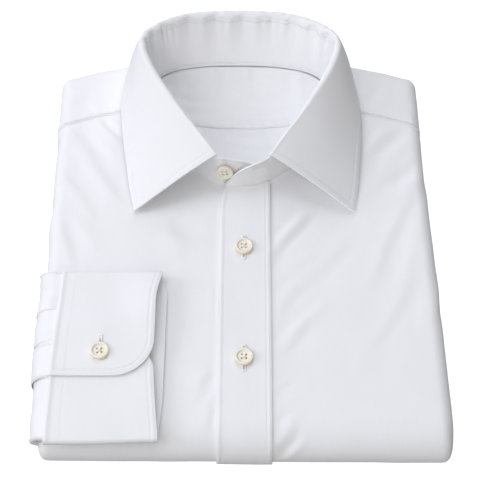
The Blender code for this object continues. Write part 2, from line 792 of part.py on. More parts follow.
def sleeve_ring(across):
    """Ring round the flattened sleeve: places (y, height above the body)."""
    row = sleeve_row(across)
    low = 0.5 + PLY / 2
    high = row.thick - PLY / 2
    radius = (high - low) / 2
    ring = [(mix(row.lower + radius, row.upper - radius, t), low) for t in steps(0, 1, 6)]
    ring += [(row.upper - radius + radius * cos(radians(a)), low + radius + radius * sin(radians(a)))
             for a in (-45, 0, 45)]
    stops = [row.upper - radius, -56.0, PLEATS[0] + 0.1, PLEATS[0] - 0.5, -82.0,
             PLEATS[1] + 0.1, PLEATS[1] - 0.5, -106.0, -120.0, -136.0, row.lower + radius]
    ring += [(y, high + pleat_height(y)) for y in stops]
    ring += [(row.lower + radius - radius * cos(radians(a)), low + radius + radius * sin(radians(a)))
             for a in (45, 0, -45)]
    return ring


SLEEVE_STEPS = (0.0, 3.0, 6.5, 10.0, 13.5, 17.0, 20.0, 23.0, 26.0, 29.0)


def sleeve_place(across, y, height):
    """A point over the body's left side, across from the cuff's seam."""
    return drape(CUFF_SEAM - 0.5 - across, max(y, HEM_START - 6), height)[0]


def sleeve():
    """End of the wearer's right sleeve: a flattened tube that comes round the side."""
    grid = []
    for across in SLEEVE_STEPS:
        grid.append([sleeve_place(across, y, height) for y, height in sleeve_ring(across)])
    columns = [list(column) for column in zip(*grid)]
    return wall("sleeve", columns, PLY, 0, around=True)


def sleeve_placket():
    """Gauntlet: the strip that finishes the sleeve's slit, on top of the sleeve."""
    grid = []
    for across in SLEEVE_STEPS[:-1]:
        row = sleeve_row(across)
        lift = row.thick + GAP + 0.1
        grid.append([sleeve_place(across, y, lift) for y in steps(*GAUNTLET, 3)])
    return wall("sleeve_placket", grid, 1.0, -1)


# ---------------------------------------------------------------- buttons

def button(name, place, normal):
    """A four-hole button with a raised rim, turned about its axis and drilled."""
    rings = ((0, 1.5), (3.3, 1.5), (4.0, 2.2), (4.9, 2.35), (5.6, 1.9), (5.75, 1.2), (4.9, 0.2), (0, 0))
    shape = bmesh.new()
    corners = [shape.verts.new(point(radius, 0, height)) for radius, height in rings]
    for low, high in zip(corners, corners[1:]):
        shape.edges.new((low, high))
    mesh = bpy.data.meshes.new(name)
    shape.to_mesh(mesh)
    shape.free()
    made = add_object(name, mesh, PEARL, 0.3)
    screw = made.modifiers.new("Turn", "SCREW")
    screw.steps = screw.render_steps = BUTTON_STEPS
    screw.use_merge_vertices = True
    screw.merge_threshold = 0.00005
    drill = made.modifiers.new("Holes", "BOOLEAN")
    drill.object = holes(made)
    made.location = place * MM
    made.rotation_mode = "QUATERNION"
    made.rotation_quaternion = normal.to_track_quat("Z", "Y")
    return made


def holes(button_object):
    """Cutter for a button's four holes."""
    shape = bmesh.new()
    for x in (-HOLE_REACH, HOLE_REACH):
        for y in (-HOLE_REACH, HOLE_REACH):
            made = bmesh.ops.create_cone(shape, cap_ends=True, segments=6, radius1=HOLE_RADIUS * MM,
                                         radius2=HOLE_RADIUS * MM, depth=6 * MM)
            bmesh.ops.translate(shape, verts=made["verts"], vec=point(x, y, 1))
    mesh = bpy.data.meshes.new(button_object.name + "_holes")
    shape.to_mesh(mesh)
    shape.free()
    cutter = bpy.data.objects.new(mesh.name, mesh)
    cutter.hide_render = True
    cutter.display_type = "WIRE"
    cutter.parent = button_object
    bpy.data.collections["cutters"].objects.link(cutter)
    return cutter


def buttons():
    """Two on the placket, one on the stand's lower end and one on the cuff."""
    for name, x, y in (("front_button_1", 2.6, -22.5), ("front_button_2", 2.9, -103.0)):
        place, normal = drape(x, y, PLACKET_GAP + PLY + GAP + 0.05)
        button(name, place, normal)
    button("cuff_button", Vector((-84.4, -102.8, CUFF_HIGH + FUSED / 2 + GAP)), Vector((0, 0, 1)))
    lean = Vector((-0.03, -1, 0.09)).normalized()
    button("collar_button", Vector((-10.2, 28.5, 38.0)), lean)


# ---------------------------------------------------------------- the shirt

def clear_scene():
    """Remove what is there and make the two collections."""
    for old in list(bpy.data.objects):
        bpy.data.objects.remove(old, do_unlink=True)
    for name in (NAME, "cutters"):
        made = bpy.data.collections.new(name)
        bpy.context.scene.collection.children.link(made)


def main():
    """Build every piece."""
    clear_scene()
    hidden_layers()
    front("front_right", -1, CHEST_SEAM - GAP)
    front("front_left", 1, CHEST_SEAM)
    placket()
    yoke()
    bowl("yoke_inner", 4, 176, 0.0, 1)
    bowl("back", 184, 356, 0.8, -1)
    stand()
    leaf()
    sleeve()
    sleeve_placket()
    cuff()
    buttons()


main()
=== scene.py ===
"""Looks of the folded dress shirt: fine cloth, stitching, buttonholes, buttons and a studio.

Lengths in the tables and functions are in millimetres; `MM` turns them into metres. +Z is up,
+Y points from the hem fold to the collar and +X to the wearer's left.
"""

from collections import namedtuple
from math import cos, pi, radians, sin

import bpy
import numpy as np
from mathutils import Matrix, Vector


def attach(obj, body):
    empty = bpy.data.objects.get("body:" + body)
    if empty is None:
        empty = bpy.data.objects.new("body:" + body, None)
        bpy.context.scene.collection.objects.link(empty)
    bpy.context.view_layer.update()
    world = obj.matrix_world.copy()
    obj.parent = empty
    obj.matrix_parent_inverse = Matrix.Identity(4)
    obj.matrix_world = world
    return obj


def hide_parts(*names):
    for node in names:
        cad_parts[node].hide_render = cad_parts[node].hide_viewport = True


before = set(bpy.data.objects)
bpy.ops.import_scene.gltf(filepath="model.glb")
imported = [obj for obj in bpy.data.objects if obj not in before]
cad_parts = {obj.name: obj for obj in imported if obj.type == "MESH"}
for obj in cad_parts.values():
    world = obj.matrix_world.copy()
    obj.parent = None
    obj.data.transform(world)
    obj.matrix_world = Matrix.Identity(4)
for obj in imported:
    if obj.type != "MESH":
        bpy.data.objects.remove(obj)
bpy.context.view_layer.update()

bl_info = {
    "name": "Folded dress shirt",
    "version": (1, 0, 0),
    "blender": (4, 5, 0),
    "location": "View3D > Sidebar > Shirt",
    "description": "Builds the cloth, stitching and buttons of a folded dress shirt",
    "category": "Object",
}

MM = 0.001

# ------------ measures of the folded body
TOP = 22.0
HEM_Y = -162.7
ROLL_SIDE = 8.5
ROLL_HEM = 14.6
HEM_BELOW = 5.6
HEM_REACH = 22.0
ROLL_SHOULDER = 10.0
ROLL_TURN = radians(150)
NECK_RISE = 2.5
CHEST_SEAM = 11.0
PLACKET_RIGHT = 19.9
BODY_MIDDLE = 0.5
NECK = (0.9, 88.0)
FOLD_RADIUS = 2.5
BOWL_FLOOR = 8.6
COLLAR_STEP = 18.5
STAND_REACH = 1.65
PLACKET_WIDTH = 33.2
PLACKET_LIFT = 1.5

CUFF_SEAM = -111.5
CUFF_MOUTH = -51.7
CUFF_UNDER_MOUTH = -45.4
CUFF_TOP = -42.6
CUFF_BOTTOM = -160.8
FLAP_END = -117.6
UNDERLAP_END = -95.0
CUFF_CORNER = 24.5
UNDERLAP_CORNER = 20.0
CUFF_LOW = 23.4
CUFF_MID = 27.2
CUFF_HIGH = 29.0
CUFF_REACH = 60.7

# Rows of stitches: how far in from the finished edge
PLACKET_STITCH = 3.5
YOKE_STITCH = 1.7
INNER_STITCH = 1.6
LEAF_STITCH = 4.5
STAND_STITCH = 1.9
STAND_FOOT_STITCH = 3.4
CUFF_STITCH = 4.0
CUFF_SEAM_STITCHES = (1.3, 8.6)
GAUNTLET_STITCH = 1.4

# Outermost x of the folded body at each y
SIDES = np.array((
    (-165, -119.0, 127.7),
    (-100, -121.5, 127.1),
    (-50, -123.4, 126.5),
    (10, -125.1, 125.2),
    (50, -126.0, 124.1),
    (105, -127.1, 124.4),
    (140, -127.7, 124.5),
))

# Where the shoulders start to roll to the back: distance from the middle, y
SHOULDERS = np.array(((0, 135.0), (40, 133.5), (80, 129.4), (104, 123.2), (120, 117.6)))

# Seam between front and yoke: distance from the middle, y
YOKE_SEAM = np.array(((62.8, 95.4), (72, 92.8), (83, 90.7), (97, 87.6), (110, 83.8), (119, 80.4),
                      (140, 76.0)))
YOKE_END = YOKE_SEAM[-2, 1]

# Half of the collar from its front end to the middle of the back: foot of the stand, crest where
# the leaf turns over, free edge of the leaf, and the drop from the crest to the leaf's seam
COLLAR = np.array((
    (17.2, 28.9, 25.6, 17.9, 31.8, 51.4, 72.0, 4.1, 27.0, 1.9),
    (34.0, 41.2, 24.6, 29.2, 48.6, 54.0, 75.2, 22.0, 27.3, 3.6),
    (45.5, 55.0, 24.4, 39.7, 63.4, 56.0, 77.3, 39.0, 27.5, 3.9),
    (55.0, 72.0, 24.3, 49.3, 79.0, 57.8, 80.0, 61.5, 27.5, 3.7),
    (61.6, 91.0, 24.2, 59.8, 98.0, 59.2, 82.2, 85.0, 26.5, 3.7),
    (64.4, 107.0, 23.8, 65.8, 114.2, 59.7, 81.6, 103.0, 25.2, 3.7),
    (63.9, 116.5, 22.9, 67.2, 124.0, 59.0, 80.2, 117.5, 24.0, 3.7),
    (60.6, 124.2, 21.4, 65.2, 132.4, 57.9, 77.2, 133.2, 22.5, 3.7),
    (54.5, 131.2, 20.4, 58.6, 140.6, 56.4, 69.6, 147.0, 19.5, 3.7),
    (45.0, 136.5, 19.5, 48.0, 148.4, 55.2, 56.6, 157.2, 16.5, 3.7),
    (31.5, 140.2, 18.9, 33.8, 154.4, 53.9, 39.0, 162.6, 14.2, 3.7),
    (16.5, 141.9, 18.7, 17.8, 156.8, 53.2, 20.0, 164.7, 13.2, 3.7),
    (0.0, 142.3, 18.6, 0.0, 157.5, 52.9, 0.0, 165.3, 13.0, 3.7),
))

# Ends of the stand past the leaf: foot and top of its middle line
OVER_END = np.array((
    (-9.4, 25.4, 26.2, -9.5, 25.2, 29.6),
    (-6.8, 25.2, 26.1, -6.7, 24.4, 35.4),
    (-2.8, 25.3, 26.0, -2.5, 24.3, 41.8),
    (2.6, 25.7, 26.0, 3.0, 24.8, 46.4),
    (9.0, 26.6, 25.9, 9.4, 26.5, 48.8),
))
UNDER_END = np.array((
    (-8.6, 29.3, 25.8, -8.6, 30.6, 49.6),
    (0.0, 29.0, 25.9, 0.0, 29.4, 48.6),
    (7.0, 29.6, 25.9, 7.0, 30.0, 45.0),
    (10.0, 30.4, 25.9, 9.4, 30.8, 38.0),
))

# Free edge of the placket at each y, and its top at each x
PLACKET_EDGE = np.array(((-170, -13.2), (-84, -13.4), (11, -13.2), (21, -11.4), (25, -9.8)))
PLACKET_TOP = np.array(((-14, 24.7), (-3, 24.7), (3, 25.0), (9.5, 26.0), (17, 28.6), (19.9, 29.6)))

# Soft creases, from their lower end to their upper end. Across each of them the cloth is tilted in a
# band with two flatter ones beside it: bow of the line to the right, half the band's width, slope
Crease = namedtuple("Crease", "x0 y0 x1 y1 bow width slope")
CREASES = [Crease(*row) for row in (
    (21, -28, 46, 3, -0.6, 3.2, -0.33), (23, -14, 39, 5, 0.0, 2.8, 0.271),
    (22, -38, 46, -21, 0.6, 3.6, 0.142), (26, -69, 38, -52, -0.6, 3.3, -0.165),
    (38, -52, 72, -15, 1.3, 4.2, -0.13), (25, -54, 33, -46, 0.0, 2.8, 0.094),
    (28, -96, 43, -75, 1.2, 3.9, -0.153), (26, -89, 51, -62, -1.2, 3.3, 0.165),
    (83, -53, 94, -23, 1.3, 3.9, -0.094), (92, -27, 115, 20, -0.7, 3.7, -0.153),
    (98, -48, 112, -4, 1.3, 3.9, 0.094), (83, -92, 109, -48, 1.9, 3.9, -0.142),
    (109, -82, 114, -60, 0.0, 3.1, 0.083), (63, -108, 65, -100, 0.0, 3.1, -0.071),
    (22, -123, 32, -116, 0.0, 1.9, -0.212), (23, -131, 35, -124, 0.0, 2.6, 0.142),
    (24, -145, 31, -140, 0.0, 2.2, 0.26), (22, -156, 35, -146, 0.0, 2.5, -0.295),
    (24, -163, 36, -152, 0.0, 2.0, 0.378), (82, 59, 97, 79, 0.7, 3.0, 0.201),
    (91, 60, 110, 79, 0.0, 3.9, -0.165), (94, 52, 113, 70, 0.7, 3.9, 0.212),
    (111, 44, 117, 52, 0.0, 2.5, -0.189), (89, 28, 108, 43, 0.0, 4.7, -0.165),
    (105, 28, 118, 39, 0.0, 3.8, 0.26), (-82, 66, -97, 85, -0.7, 2.7, -0.392),
    (-83, 74, -92, 83, 0.0, 2.4, 0.243), (-88, 53, -105, 76, 0.0, 3.4, 0.176),
    (-98, 51, -116, 77, 0.0, 4.5, -0.243), (-78, 18, -98, 51, -1.3, 4.3, -0.176),
    (-89, 19, -108, 48, 0.0, 3.6, 0.176), (-103, 19, -118, 39, 0.0, 3.7, -0.27),
    (-94, 2, -103, 19, 0.0, 3.5, -0.176), (-94, -27, -108, -2, 0.6, 3.4, 0.149),
    (-105, -33, -117, -2, 0.6, 3.3, -0.243), (-32, -16, -47, -7, 0.0, 6.0, -0.149),
    (-24, -121, -16, -111, 0.0, 3.2, -0.243), (-18, -146, -15, -135, 0.0, 2.4, -0.243),
    (-23, -133, -16, -126, 0.0, 2.5, 0.27), (-17, -62, -16, -50, 0.0, 1.9, -0.176),
    (-86, 93, -97, 115, 0.7, 3.0, 0.121), (-92, 88, -102, 104, 0.0, 3.0, -0.108),
    (-100, 89, -107, 103, 0.0, 2.6, 0.108), (-116, 99, -107, 109, 0.0, 4.8, -0.149),
    (96, 106, 102, 118, 0.0, 4.5, 0.083), (87, 102, 95, 116, 0.0, 3.8, -0.118),
    (107, 103, 113, 113, 0.0, 3.9, 0.094), (123, -72, 139, -30, 0.5, 3.8, -0.165),
    (125, 22, 138, 58, 0.0, 3.2, 0.189), (-139, -20, -124, 14, 0.4, 3.6, 0.351),
    (-138, 52, -125, 80, 0.0, 3.0, -0.351), (30, 128, 41, 152, 0.4, 3.2, 0.165),
    (-48, 130, -39, 150, 0.0, 2.8, -0.203), (116, 85, 88, 95, 0.0, 4.4, 0.26),
)]

# Sleeve, from the cuff round the side of the body: distance, upper and lower fold, thickness
SLEEVE = np.array((
    (-3.0, -44.6, -157.6, 4.6),
    (0.0, -43.6, -157.2, 4.7),
    (4.0, -42.6, -156.4, 5.0),
    (10.0, -40.6, -155.2, 4.6),
    (16.0, -38.8, -153.0, 4.2),
    (24.0, -38.2, -150.6, 3.6),
    (30.0, -38.2, -150.0, 3.4),
))
PLEATS = (-70.5, -93.2)
PLEAT_STEP = 0.85
GAUNTLET = (-95.0, -117.8)

FRONT_BUTTONS = ((2.6, -21.6), (2.9, -102.1))
CUFF_BUTTON = (-84.1, -101.7)
COLLAR_BUTTON = (-10.2, 28.5, 38.0)


# ------------ numbers on arrays

def size(name):
    """One of the scene's sizes, in millimetres."""
    return getattr(bpy.context.scene.shirt_sizes, name) / MM


def column(table, at, index=1, key=0):
    """A column of a table, read at values of its key column."""
    return np.interp(at, table[:, key], table[:, index])


def smooth(low, high, value):
    """0 below low, 1 above high, with soft ends."""
    t = np.clip((value - low) / (high - low), 0.0, 1.0)
    return t * t * (3 - 2 * t)


def hill(value, middle, width):
    """1 at the middle value, falling off on both sides as a bell curve."""
    return np.exp(-((value - middle) / width) ** 2)


def mix(a, b, t):
    """From a to b."""
    return a + (b - a) * t


def unit(vectors):
    """Vectors of length 1."""
    return vectors / np.maximum(np.linalg.norm(vectors, axis=-1, keepdims=True), 1e-12)


def grid_normals(points):
    """Normals of a grid of points."""
    return unit(np.cross(np.gradient(points, axis=1), np.gradient(points, axis=0)))


def arc(points, axis):
    """Distance along the rows or columns of a grid from its start."""
    edges = np.linalg.norm(np.diff(points, axis=axis), axis=-1)
    zero = np.zeros_like(np.take(edges, [0], axis=axis))
    return np.cumsum(np.concatenate((zero, edges), axis=axis), axis=axis)


def stack(*values):
    """Points from their coordinates."""
    return np.stack(np.broadcast_arrays(*values), axis=-1).astype(float)


def steps(low, high, spacing):
    """Even values from low to high, about `spacing` apart."""
    return np.linspace(low, high, max(2, int(round(abs(high - low) / spacing)) + 1))


def catmull(values, u):
    """Smooth curve through rows of values that stand one apart, read at u."""
    u = np.asarray(u, float)
    ends = np.vstack((2 * values[:1] - values[1:2], values, 2 * values[-1:] - values[-2:-1]))
    i = np.clip(u.astype(int), 0, len(values) - 2)
    t = (u - i)[..., None]
    p0, p1, p2, p3 = (ends[i + k] for k in range(4))
    m1, m2 = (p2 - p0) / 2, (p3 - p1) / 2
    return (p1 * (2 * t ** 3 - 3 * t ** 2 + 1) + m1 * (t ** 3 - 2 * t ** 2 + t)
            + p2 * (3 * t ** 2 - 2 * t ** 3) + m2 * (t ** 3 - t ** 2))


def near_edges(low, high, spacing, edge=3.0, fine=0.5):
    """Values from low to high with closer steps along both ends."""
    return np.concatenate((steps(low, low + edge, fine)[:-1], steps(low + edge, high - edge, spacing),
                           steps(high - edge, high, fine)[1:]))


def index_of(value, values):
    """Fractional index of a value in rising values."""
    return np.interp(value, values, np.arange(len(values)))


# ------------ collar curves

UP = np.array((0.0, 0.0, 1.0))
MIRROR = np.array((-1, 1, 1, -1, 1, 1, -1, 1, 1, 1))
COLLAR_ROUND = np.vstack((COLLAR, COLLAR[-2::-1] * MIRROR))
LAST = len(COLLAR_ROUND) - 1


def from_ends(u):
    """How far along the collar a place is from the nearer of its two ends."""
    return np.minimum(u, LAST - u)


def collar_place(points):
    """The collar sits a little to one side, more so at the front."""
    moved = np.array(points, float)
    moved[..., 0] += 1.9 - 0.03 * (moved[..., 1] - 30)
    return moved


def foot(u):
    """Outside foot of the stand."""
    return collar_place(catmull(COLLAR_ROUND, u)[..., 0:3])


def crest(u):
    """Where the leaf turns over."""
    return collar_place(catmull(COLLAR_ROUND, u)[..., 3:6])


def free_edge(u):
    """Free edge of the leaf. Towards its points it lies close to the front."""
    near = 1 - smooth(0.0, 3.6, from_ends(u))
    return collar_place(catmull(COLLAR_ROUND, u)[..., 6:9]) + near[..., None] * np.array((0.0, 1.9, -2.8))


def away_from_neck(u):
    """Level direction away from the neck at the stand's foot."""
    along = foot(np.minimum(u + 0.1, LAST)) - foot(np.maximum(u - 0.1, 0))
    return unit(stack(along[..., 1], -along[..., 0], 0))


def over_the_crest(u):
    """Level direction from the crest to the free edge."""
    across = free_edge(u) - crest(u)
    across[..., 2] = 0
    return unit(across)


def from_neck(x, y):
    """Angle and distance of a place from the middle of the neck."""
    return np.arctan2(y - NECK[1], x - NECK[0]), np.hypot(x - NECK[0], y - NECK[1])


def round_neck(angle, distance):
    """Place at an angle and a distance from the middle of the neck."""
    return NECK[0] + distance * np.cos(angle), NECK[1] + distance * np.sin(angle)


NECK_RIM = np.vstack((foot(np.linspace(0, LAST, 193))[:, :2], [(1.9, 25.4)]))
NECK_ANGLE, NECK_REACH = from_neck(*NECK_RIM.T)


def neck_reach(angle):
    """Distance from the middle of the neck to the foot of the stand."""
    return np.interp(angle, NECK_ANGLE, NECK_REACH, period=2 * pi)


def neck_share(x, y):
    """Distance from the middle of the neck as a share of the way to the stand's foot."""
    angle, distance = from_neck(x, y)
    return distance / neck_reach(angle)


def yoke_seam(x):
    """y of the seam between a front and the outer yoke."""
    return column(YOKE_SEAM, np.abs(x - BODY_MIDDLE))


def front_top(x):
    """y where a front ends: the neckline near the middle, the yoke seam further out."""
    rim = NECK_RIM[np.argsort(NECK_RIM[:, 0])]
    rim = rim[rim[:, 1] < 100]
    neckline = np.minimum(column(rim, x), YOKE_SEAM[0, 1])
    return np.where(np.abs(x - BODY_MIDDLE) < YOKE_SEAM[0, 0], neckline, yoke_seam(x))


# ------------ the draped sheet

def crease_height(x, y):
    """The listed creases and a faint waviness of the whole cloth."""
    total = 0.10 * np.sin(x / 9.1 + y / 23.0 + 1.3) * np.sin(y / 14.7 - x / 31.0)
    total += 0.06 * np.sin(x / 4.3 - y / 11.9 + 0.4) * np.sin(y / 7.9 + 2.0)
    for crease in CREASES:
        dx, dy = crease.x1 - crease.x0, crease.y1 - crease.y0
        length = np.hypot(dx, dy)
        along = ((x - crease.x0) * dx + (y - crease.y0) * dy) / length ** 2
        away = ((x - crease.x0) * dy - (y - crease.y0) * dx) / length
        away = away - crease.bow * 4 * along * (1 - along)
        fade = smooth(-0.25, 0.25, along) * (1 - smooth(0.75, 1.25, along))
        total += crease.slope * fade * away * np.exp(-(away / crease.width) ** 2 / 2)
    return total - cuff_hollow(x, y)


def cuff_hollow(x, y):
    """How far the cloth is pressed down beside the cuff's mouth, wider towards its upper end."""
    low = mix(-37.0, -40.0, smooth(-85, -110, y))
    depth = mix(1.5, 1.15, smooth(-85, -110, y)) * smooth(-46, -58, y) * smooth(-160, -148, y)
    return depth * smooth(-46.5, low, x) * (1 - smooth(low + 1.0, low + 20.0, x))


def sheet_height(x, y):
    """Height of the outside of the front, before creases and before it rolls over an edge."""
    return TOP + NECK_RISE * (1 - smooth(1.0, 1.75, neck_share(x, y))) * (1 - smooth(98, 132, y))


def side_start(side, y):
    """x where the sheet starts to roll over one side."""
    return column(SIDES, y, 1) + ROLL_SIDE if side < 0 else column(SIDES, y, 2) - ROLL_SIDE


def shoulder_start(x):
    """y where the sheet starts to roll over the shoulders."""
    return column(SHOULDERS, np.abs(x))


HEM_START = HEM_Y + HEM_REACH


def roll_radius(dx, dy):
    """Upright radius of the rolled edge's upper half in an outward direction."""
    return ROLL_SIDE * dx * dx + np.where(dy < 0, ROLL_HEM, ROLL_SHOULDER) * dy * dy


def roll_below(dx, dy):
    """Upright radius of its lower half."""
    return ROLL_SIDE * dx * dx + np.where(dy < 0, HEM_BELOW, ROLL_SHOULDER) * dy * dy


def radius_at(dx, dy, turn):
    """Upright radius of the rolled edge after a turn."""
    return np.where(turn < pi / 2, roll_radius(dx, dy), roll_below(dx, dy))


def roll_drop(dx, dy, turn):
    """How far below the top the edge has rolled after a turn."""
    return roll_radius(dx, dy) - radius_at(dx, dy, turn) * np.cos(turn)


def roll_reach(dx, dy):
    """Level radius of the rolled edge: long and soft at the hem end."""
    hem = (np.abs(dx / ROLL_SIDE) ** 3 + np.abs(dy / HEM_REACH) ** 3) ** (-1 / 3)
    return np.where(dy < 0, hem, roll_radius(dx, dy))


def roll_mean(dx, dy):
    """Mean radius, which sets the length of cloth round the roll."""
    return (roll_radius(dx, dy) + roll_below(dx, dy)) / 4 + roll_reach(dx, dy) / 2


def drape(x, y, lift=0.0, creased=1.0):
    """Points and outward normals of places on the sheet, lifted off it."""
    x, y = np.broadcast_arrays(np.asarray(x, float), np.asarray(y, float))
    base_y = np.clip(y, HEM_START, shoulder_start(x))
    base_x = np.clip(x, side_start(-1, base_y), side_start(1, base_y))
    base_y = np.clip(y, HEM_START, shoulder_start(base_x))
    past = np.hypot(x - base_x, y - base_y)
    height = sheet_height(base_x, base_y)
    level = past < 1e-6
    slope_x = (sheet_height(x + 0.5, y) - sheet_height(x - 0.5, y)) * level
    slope_y = (sheet_height(x, y + 0.5) - sheet_height(x, y - 0.5)) * level
    far = np.maximum(past, 1e-9)
    dx, dy = np.where(level, 1.0, (x - base_x) / far), np.where(level, 0.0, (y - base_y) / far)
    turn = past / roll_mean(dx, dy)
    radius, reach = radius_at(dx, dy, turn), roll_reach(dx, dy)
    normal = unit(stack(dx * np.sin(turn) / reach - slope_x / radius, dy * np.sin(turn) / reach
                        - slope_y / radius, np.cos(turn) / radius))
    place = stack(base_x + dx * reach * np.sin(turn), base_y + dy * reach * np.sin(turn),
                  height - roll_drop(dx, dy, turn))
    return place + normal * (lift + creased * crease_height(x, y))[..., None], normal


# ------------ making pieces

def deselect():
    """Nothing selected, nothing in edit mode."""
    if bpy.context.object and bpy.context.object.mode != "OBJECT":
        bpy.ops.object.mode_set(mode="OBJECT")
    bpy.ops.object.select_all(action="DESELECT")


def add(operator, **settings):
    """The object that an operator adds."""
    deselect()
    operator(**settings)
    return bpy.context.object


def activate(piece):
    """Make one piece the only one selected."""
    deselect()
    piece.select_set(True)
    bpy.context.view_layer.objects.active = piece


def apply_all(piece):
    """Apply the piece's modifiers in order."""
    activate(piece)
    for modifier in list(piece.modifiers):
        bpy.ops.object.modifier_apply(modifier=modifier.name)


def weld(piece):
    """Join the vertices of a piece that share a place."""
    activate(piece)
    bpy.ops.object.mode_set(mode="EDIT")
    bpy.ops.mesh.select_all(action="SELECT")
    bpy.ops.mesh.remove_doubles(threshold=0.002 * MM)
    bpy.ops.object.mode_set(mode="OBJECT")


def write_uv(mesh, layer, places):
    """Write a UV map from a place for each vertex."""
    loops = np.zeros(len(mesh.loops), np.int32)
    mesh.loops.foreach_get("vertex_index", loops)
    layer.data.foreach_set("uv", places[loops].astype(np.float32).ravel())


NO_EDGE = 50.0


def cloth_grid(name, points, cut, from_edge=None):
    """A grid primitive laid on an array of points, with the flat cut as its UV map. Its faces
    look along (direction of columns) x (direction of rows). from_edge is each point's distance
    from the nearest finished edge."""
    rows, columns = points.shape[:2]
    piece = add(bpy.ops.mesh.primitive_grid_add, x_subdivisions=columns - 1, y_subdivisions=rows - 1,
                size=2)
    piece.name = piece.data.name = name
    mesh = piece.data
    corners = np.zeros(len(mesh.vertices) * 3)
    mesh.vertices.foreach_get("co", corners)
    corners = corners.reshape(-1, 3)
    i = np.rint((corners[:, 0] + 1) / 2 * (columns - 1)).astype(int)
    j = np.rint((corners[:, 1] + 1) / 2 * (rows - 1)).astype(int)
    mesh.vertices.foreach_set("co", (points[j, i] * MM).ravel())
    mesh.uv_layers[0].name = "Cut"
    write_uv(mesh, mesh.uv_layers[0], cut[j, i] * MM)
    reach = mesh.attributes.new("from_edge", "FLOAT", "POINT")
    values = np.full(len(corners), NO_EDGE) if from_edge is None else from_edge[j, i]
    reach.data.foreach_set("value", values.astype(np.float32))
    mesh.update()
    return piece


def soften(piece, width, segments, angle):
    """Give a piece a bevel on the edges sharper than an angle in degrees."""
    bevel = piece.modifiers.new("Soft edge", "BEVEL")
    bevel.width, bevel.segments, bevel.limit_method = width * MM, segments, "ANGLE"
    bevel.angle_limit = radians(angle)


def finish_cloth(piece, thickness, offset=-1, soft_edge=0.0, closed=False):
    """Give a sheet its thickness, round its rims and shade it smooth."""
    if closed:
        weld(piece)
    solid = piece.modifiers.new("Thickness", "SOLIDIFY")
    solid.thickness, solid.offset, solid.use_quality_normals = thickness * MM, offset, True
    if soft_edge:
        soften(piece, soft_edge, 2, 60)
    apply_all(piece)
    bpy.ops.object.shade_smooth_by_angle(angle=radians(50))


def cut_size(piece):
    """Width, length and area of the flat cut, from the UV map."""
    mesh = piece.data
    flat = np.zeros(len(mesh.loops) * 2)
    mesh.uv_layers["Cut"].data.foreach_get("uv", flat)
    flat = flat.reshape(-1, 2)
    width, length = np.ptp(flat, axis=0)
    area = 0.0
    for face in mesh.polygons:
        corner = flat[face.loop_start:face.loop_start + face.loop_total]
        x, y = corner[:, 0], corner[:, 1]
        area += abs(np.dot(x, np.roll(y, -1)) - np.dot(y, np.roll(x, -1))) / 2
    return float(width), float(length), area / 2


def trim(piece, material):
    """Hand over a piece with its material."""
    piece.data.materials.clear()
    piece.data.materials.append(material)
    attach(piece, "root")
    return piece


def dress(piece, node, material, sheet=True):
    """Give a piece that replaces a node its material, attach it and hide the node; for a sheet, the cut's
    area is worked out but not kept.
    """
    trim(piece, material)
    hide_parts(node)
    if sheet:
        width, length, area = cut_size(piece)
        area = min(max(area, 0.3 * width * length), width * length)
    return piece


# ------------ shader maths

class Value:
    """A socket that can be used in Python arithmetic."""

    def __init__(self, shader, socket):
        self.shader, self.socket = shader, socket

    def maths(self, operation, *others):
        """A Math node on this value and others."""
        return self.shader.node("ShaderNodeMath", {"operation": operation},
                                {k: v for k, v in enumerate((self,) + others)})

    def __add__(self, other):
        return self.maths("ADD", other)

    def __mul__(self, other):
        return self.maths("MULTIPLY", other)

    def __sub__(self, other):
        return self.maths("SUBTRACT", other)

    def __rsub__(self, other):
        return self.maths("MULTIPLY_ADD", -1.0, other)

    def __truediv__(self, other):
        return self.maths("DIVIDE", other)

    __radd__, __rmul__ = __add__, __mul__

    def bell(self, middle, width):
        """1 at the middle value, down to 0 over the width on both sides."""
        near = 1 - ((self - middle) / width).maths("ABSOLUTE")
        return near.maths("MAXIMUM", 0.0).maths("POWER", 1.5)


class Shader:
    """Nodes of one material."""

    def __init__(self, name):
        self.material = bpy.data.materials.new(name)
        self.material.use_nodes = True
        self.tree = self.material.node_tree

    def node(self, kind, settings=None, inputs=None, output=0):
        """A node with its settings, its sockets' values or links, and one output."""
        made = self.tree.nodes.new(kind)
        for key, value in (settings or {}).items():
            setattr(made, key, value)
        for key, value in (inputs or {}).items():
            self.feed(made.inputs[key], value)
        return Value(self, made.outputs[output])

    def feed(self, socket, value):
        """Set a socket or link it."""
        if isinstance(value, Value):
            self.tree.links.new(value.socket, socket)
        else:
            socket.default_value = value

    def surface(self, **looks):
        """The Principled shader's own sockets, and the finished material."""
        for key, value in looks.items():
            self.feed(self.tree.nodes["Principled BSDF"].inputs[key.replace("_", " ")], value)
        return self.material

    def cut(self, name):
        """A UV map."""
        return self.node("ShaderNodeUVMap", {"uv_map": name}, {}, "UV")

    def place(self):
        """Place on the object."""
        return self.node("ShaderNodeTexCoord", {}, {}, "Object")

    def noise(self, vector, scale, detail, roughness=0.5):
        """A noise whose pattern is scaled differently along each direction."""
        placed = self.node("ShaderNodeMapping", {}, {"Vector": vector, "Scale": scale}, "Vector")
        return self.node("ShaderNodeTexNoise", {}, {"Vector": placed, "Scale": 1.0, "Detail": detail,
                                                    "Roughness": roughness})

    def blend(self, low, high, share):
        """Colour between two colours."""
        return self.node("ShaderNodeMix", {"data_type": "RGBA"}, {0: share, 6: low, 7: high}, 2)

    def bump(self, height):
        """Relief from a height in millimetres."""
        return self.node("ShaderNodeBump", {}, {"Strength": 1.0, "Distance": MM, "Height": height}, "Normal")


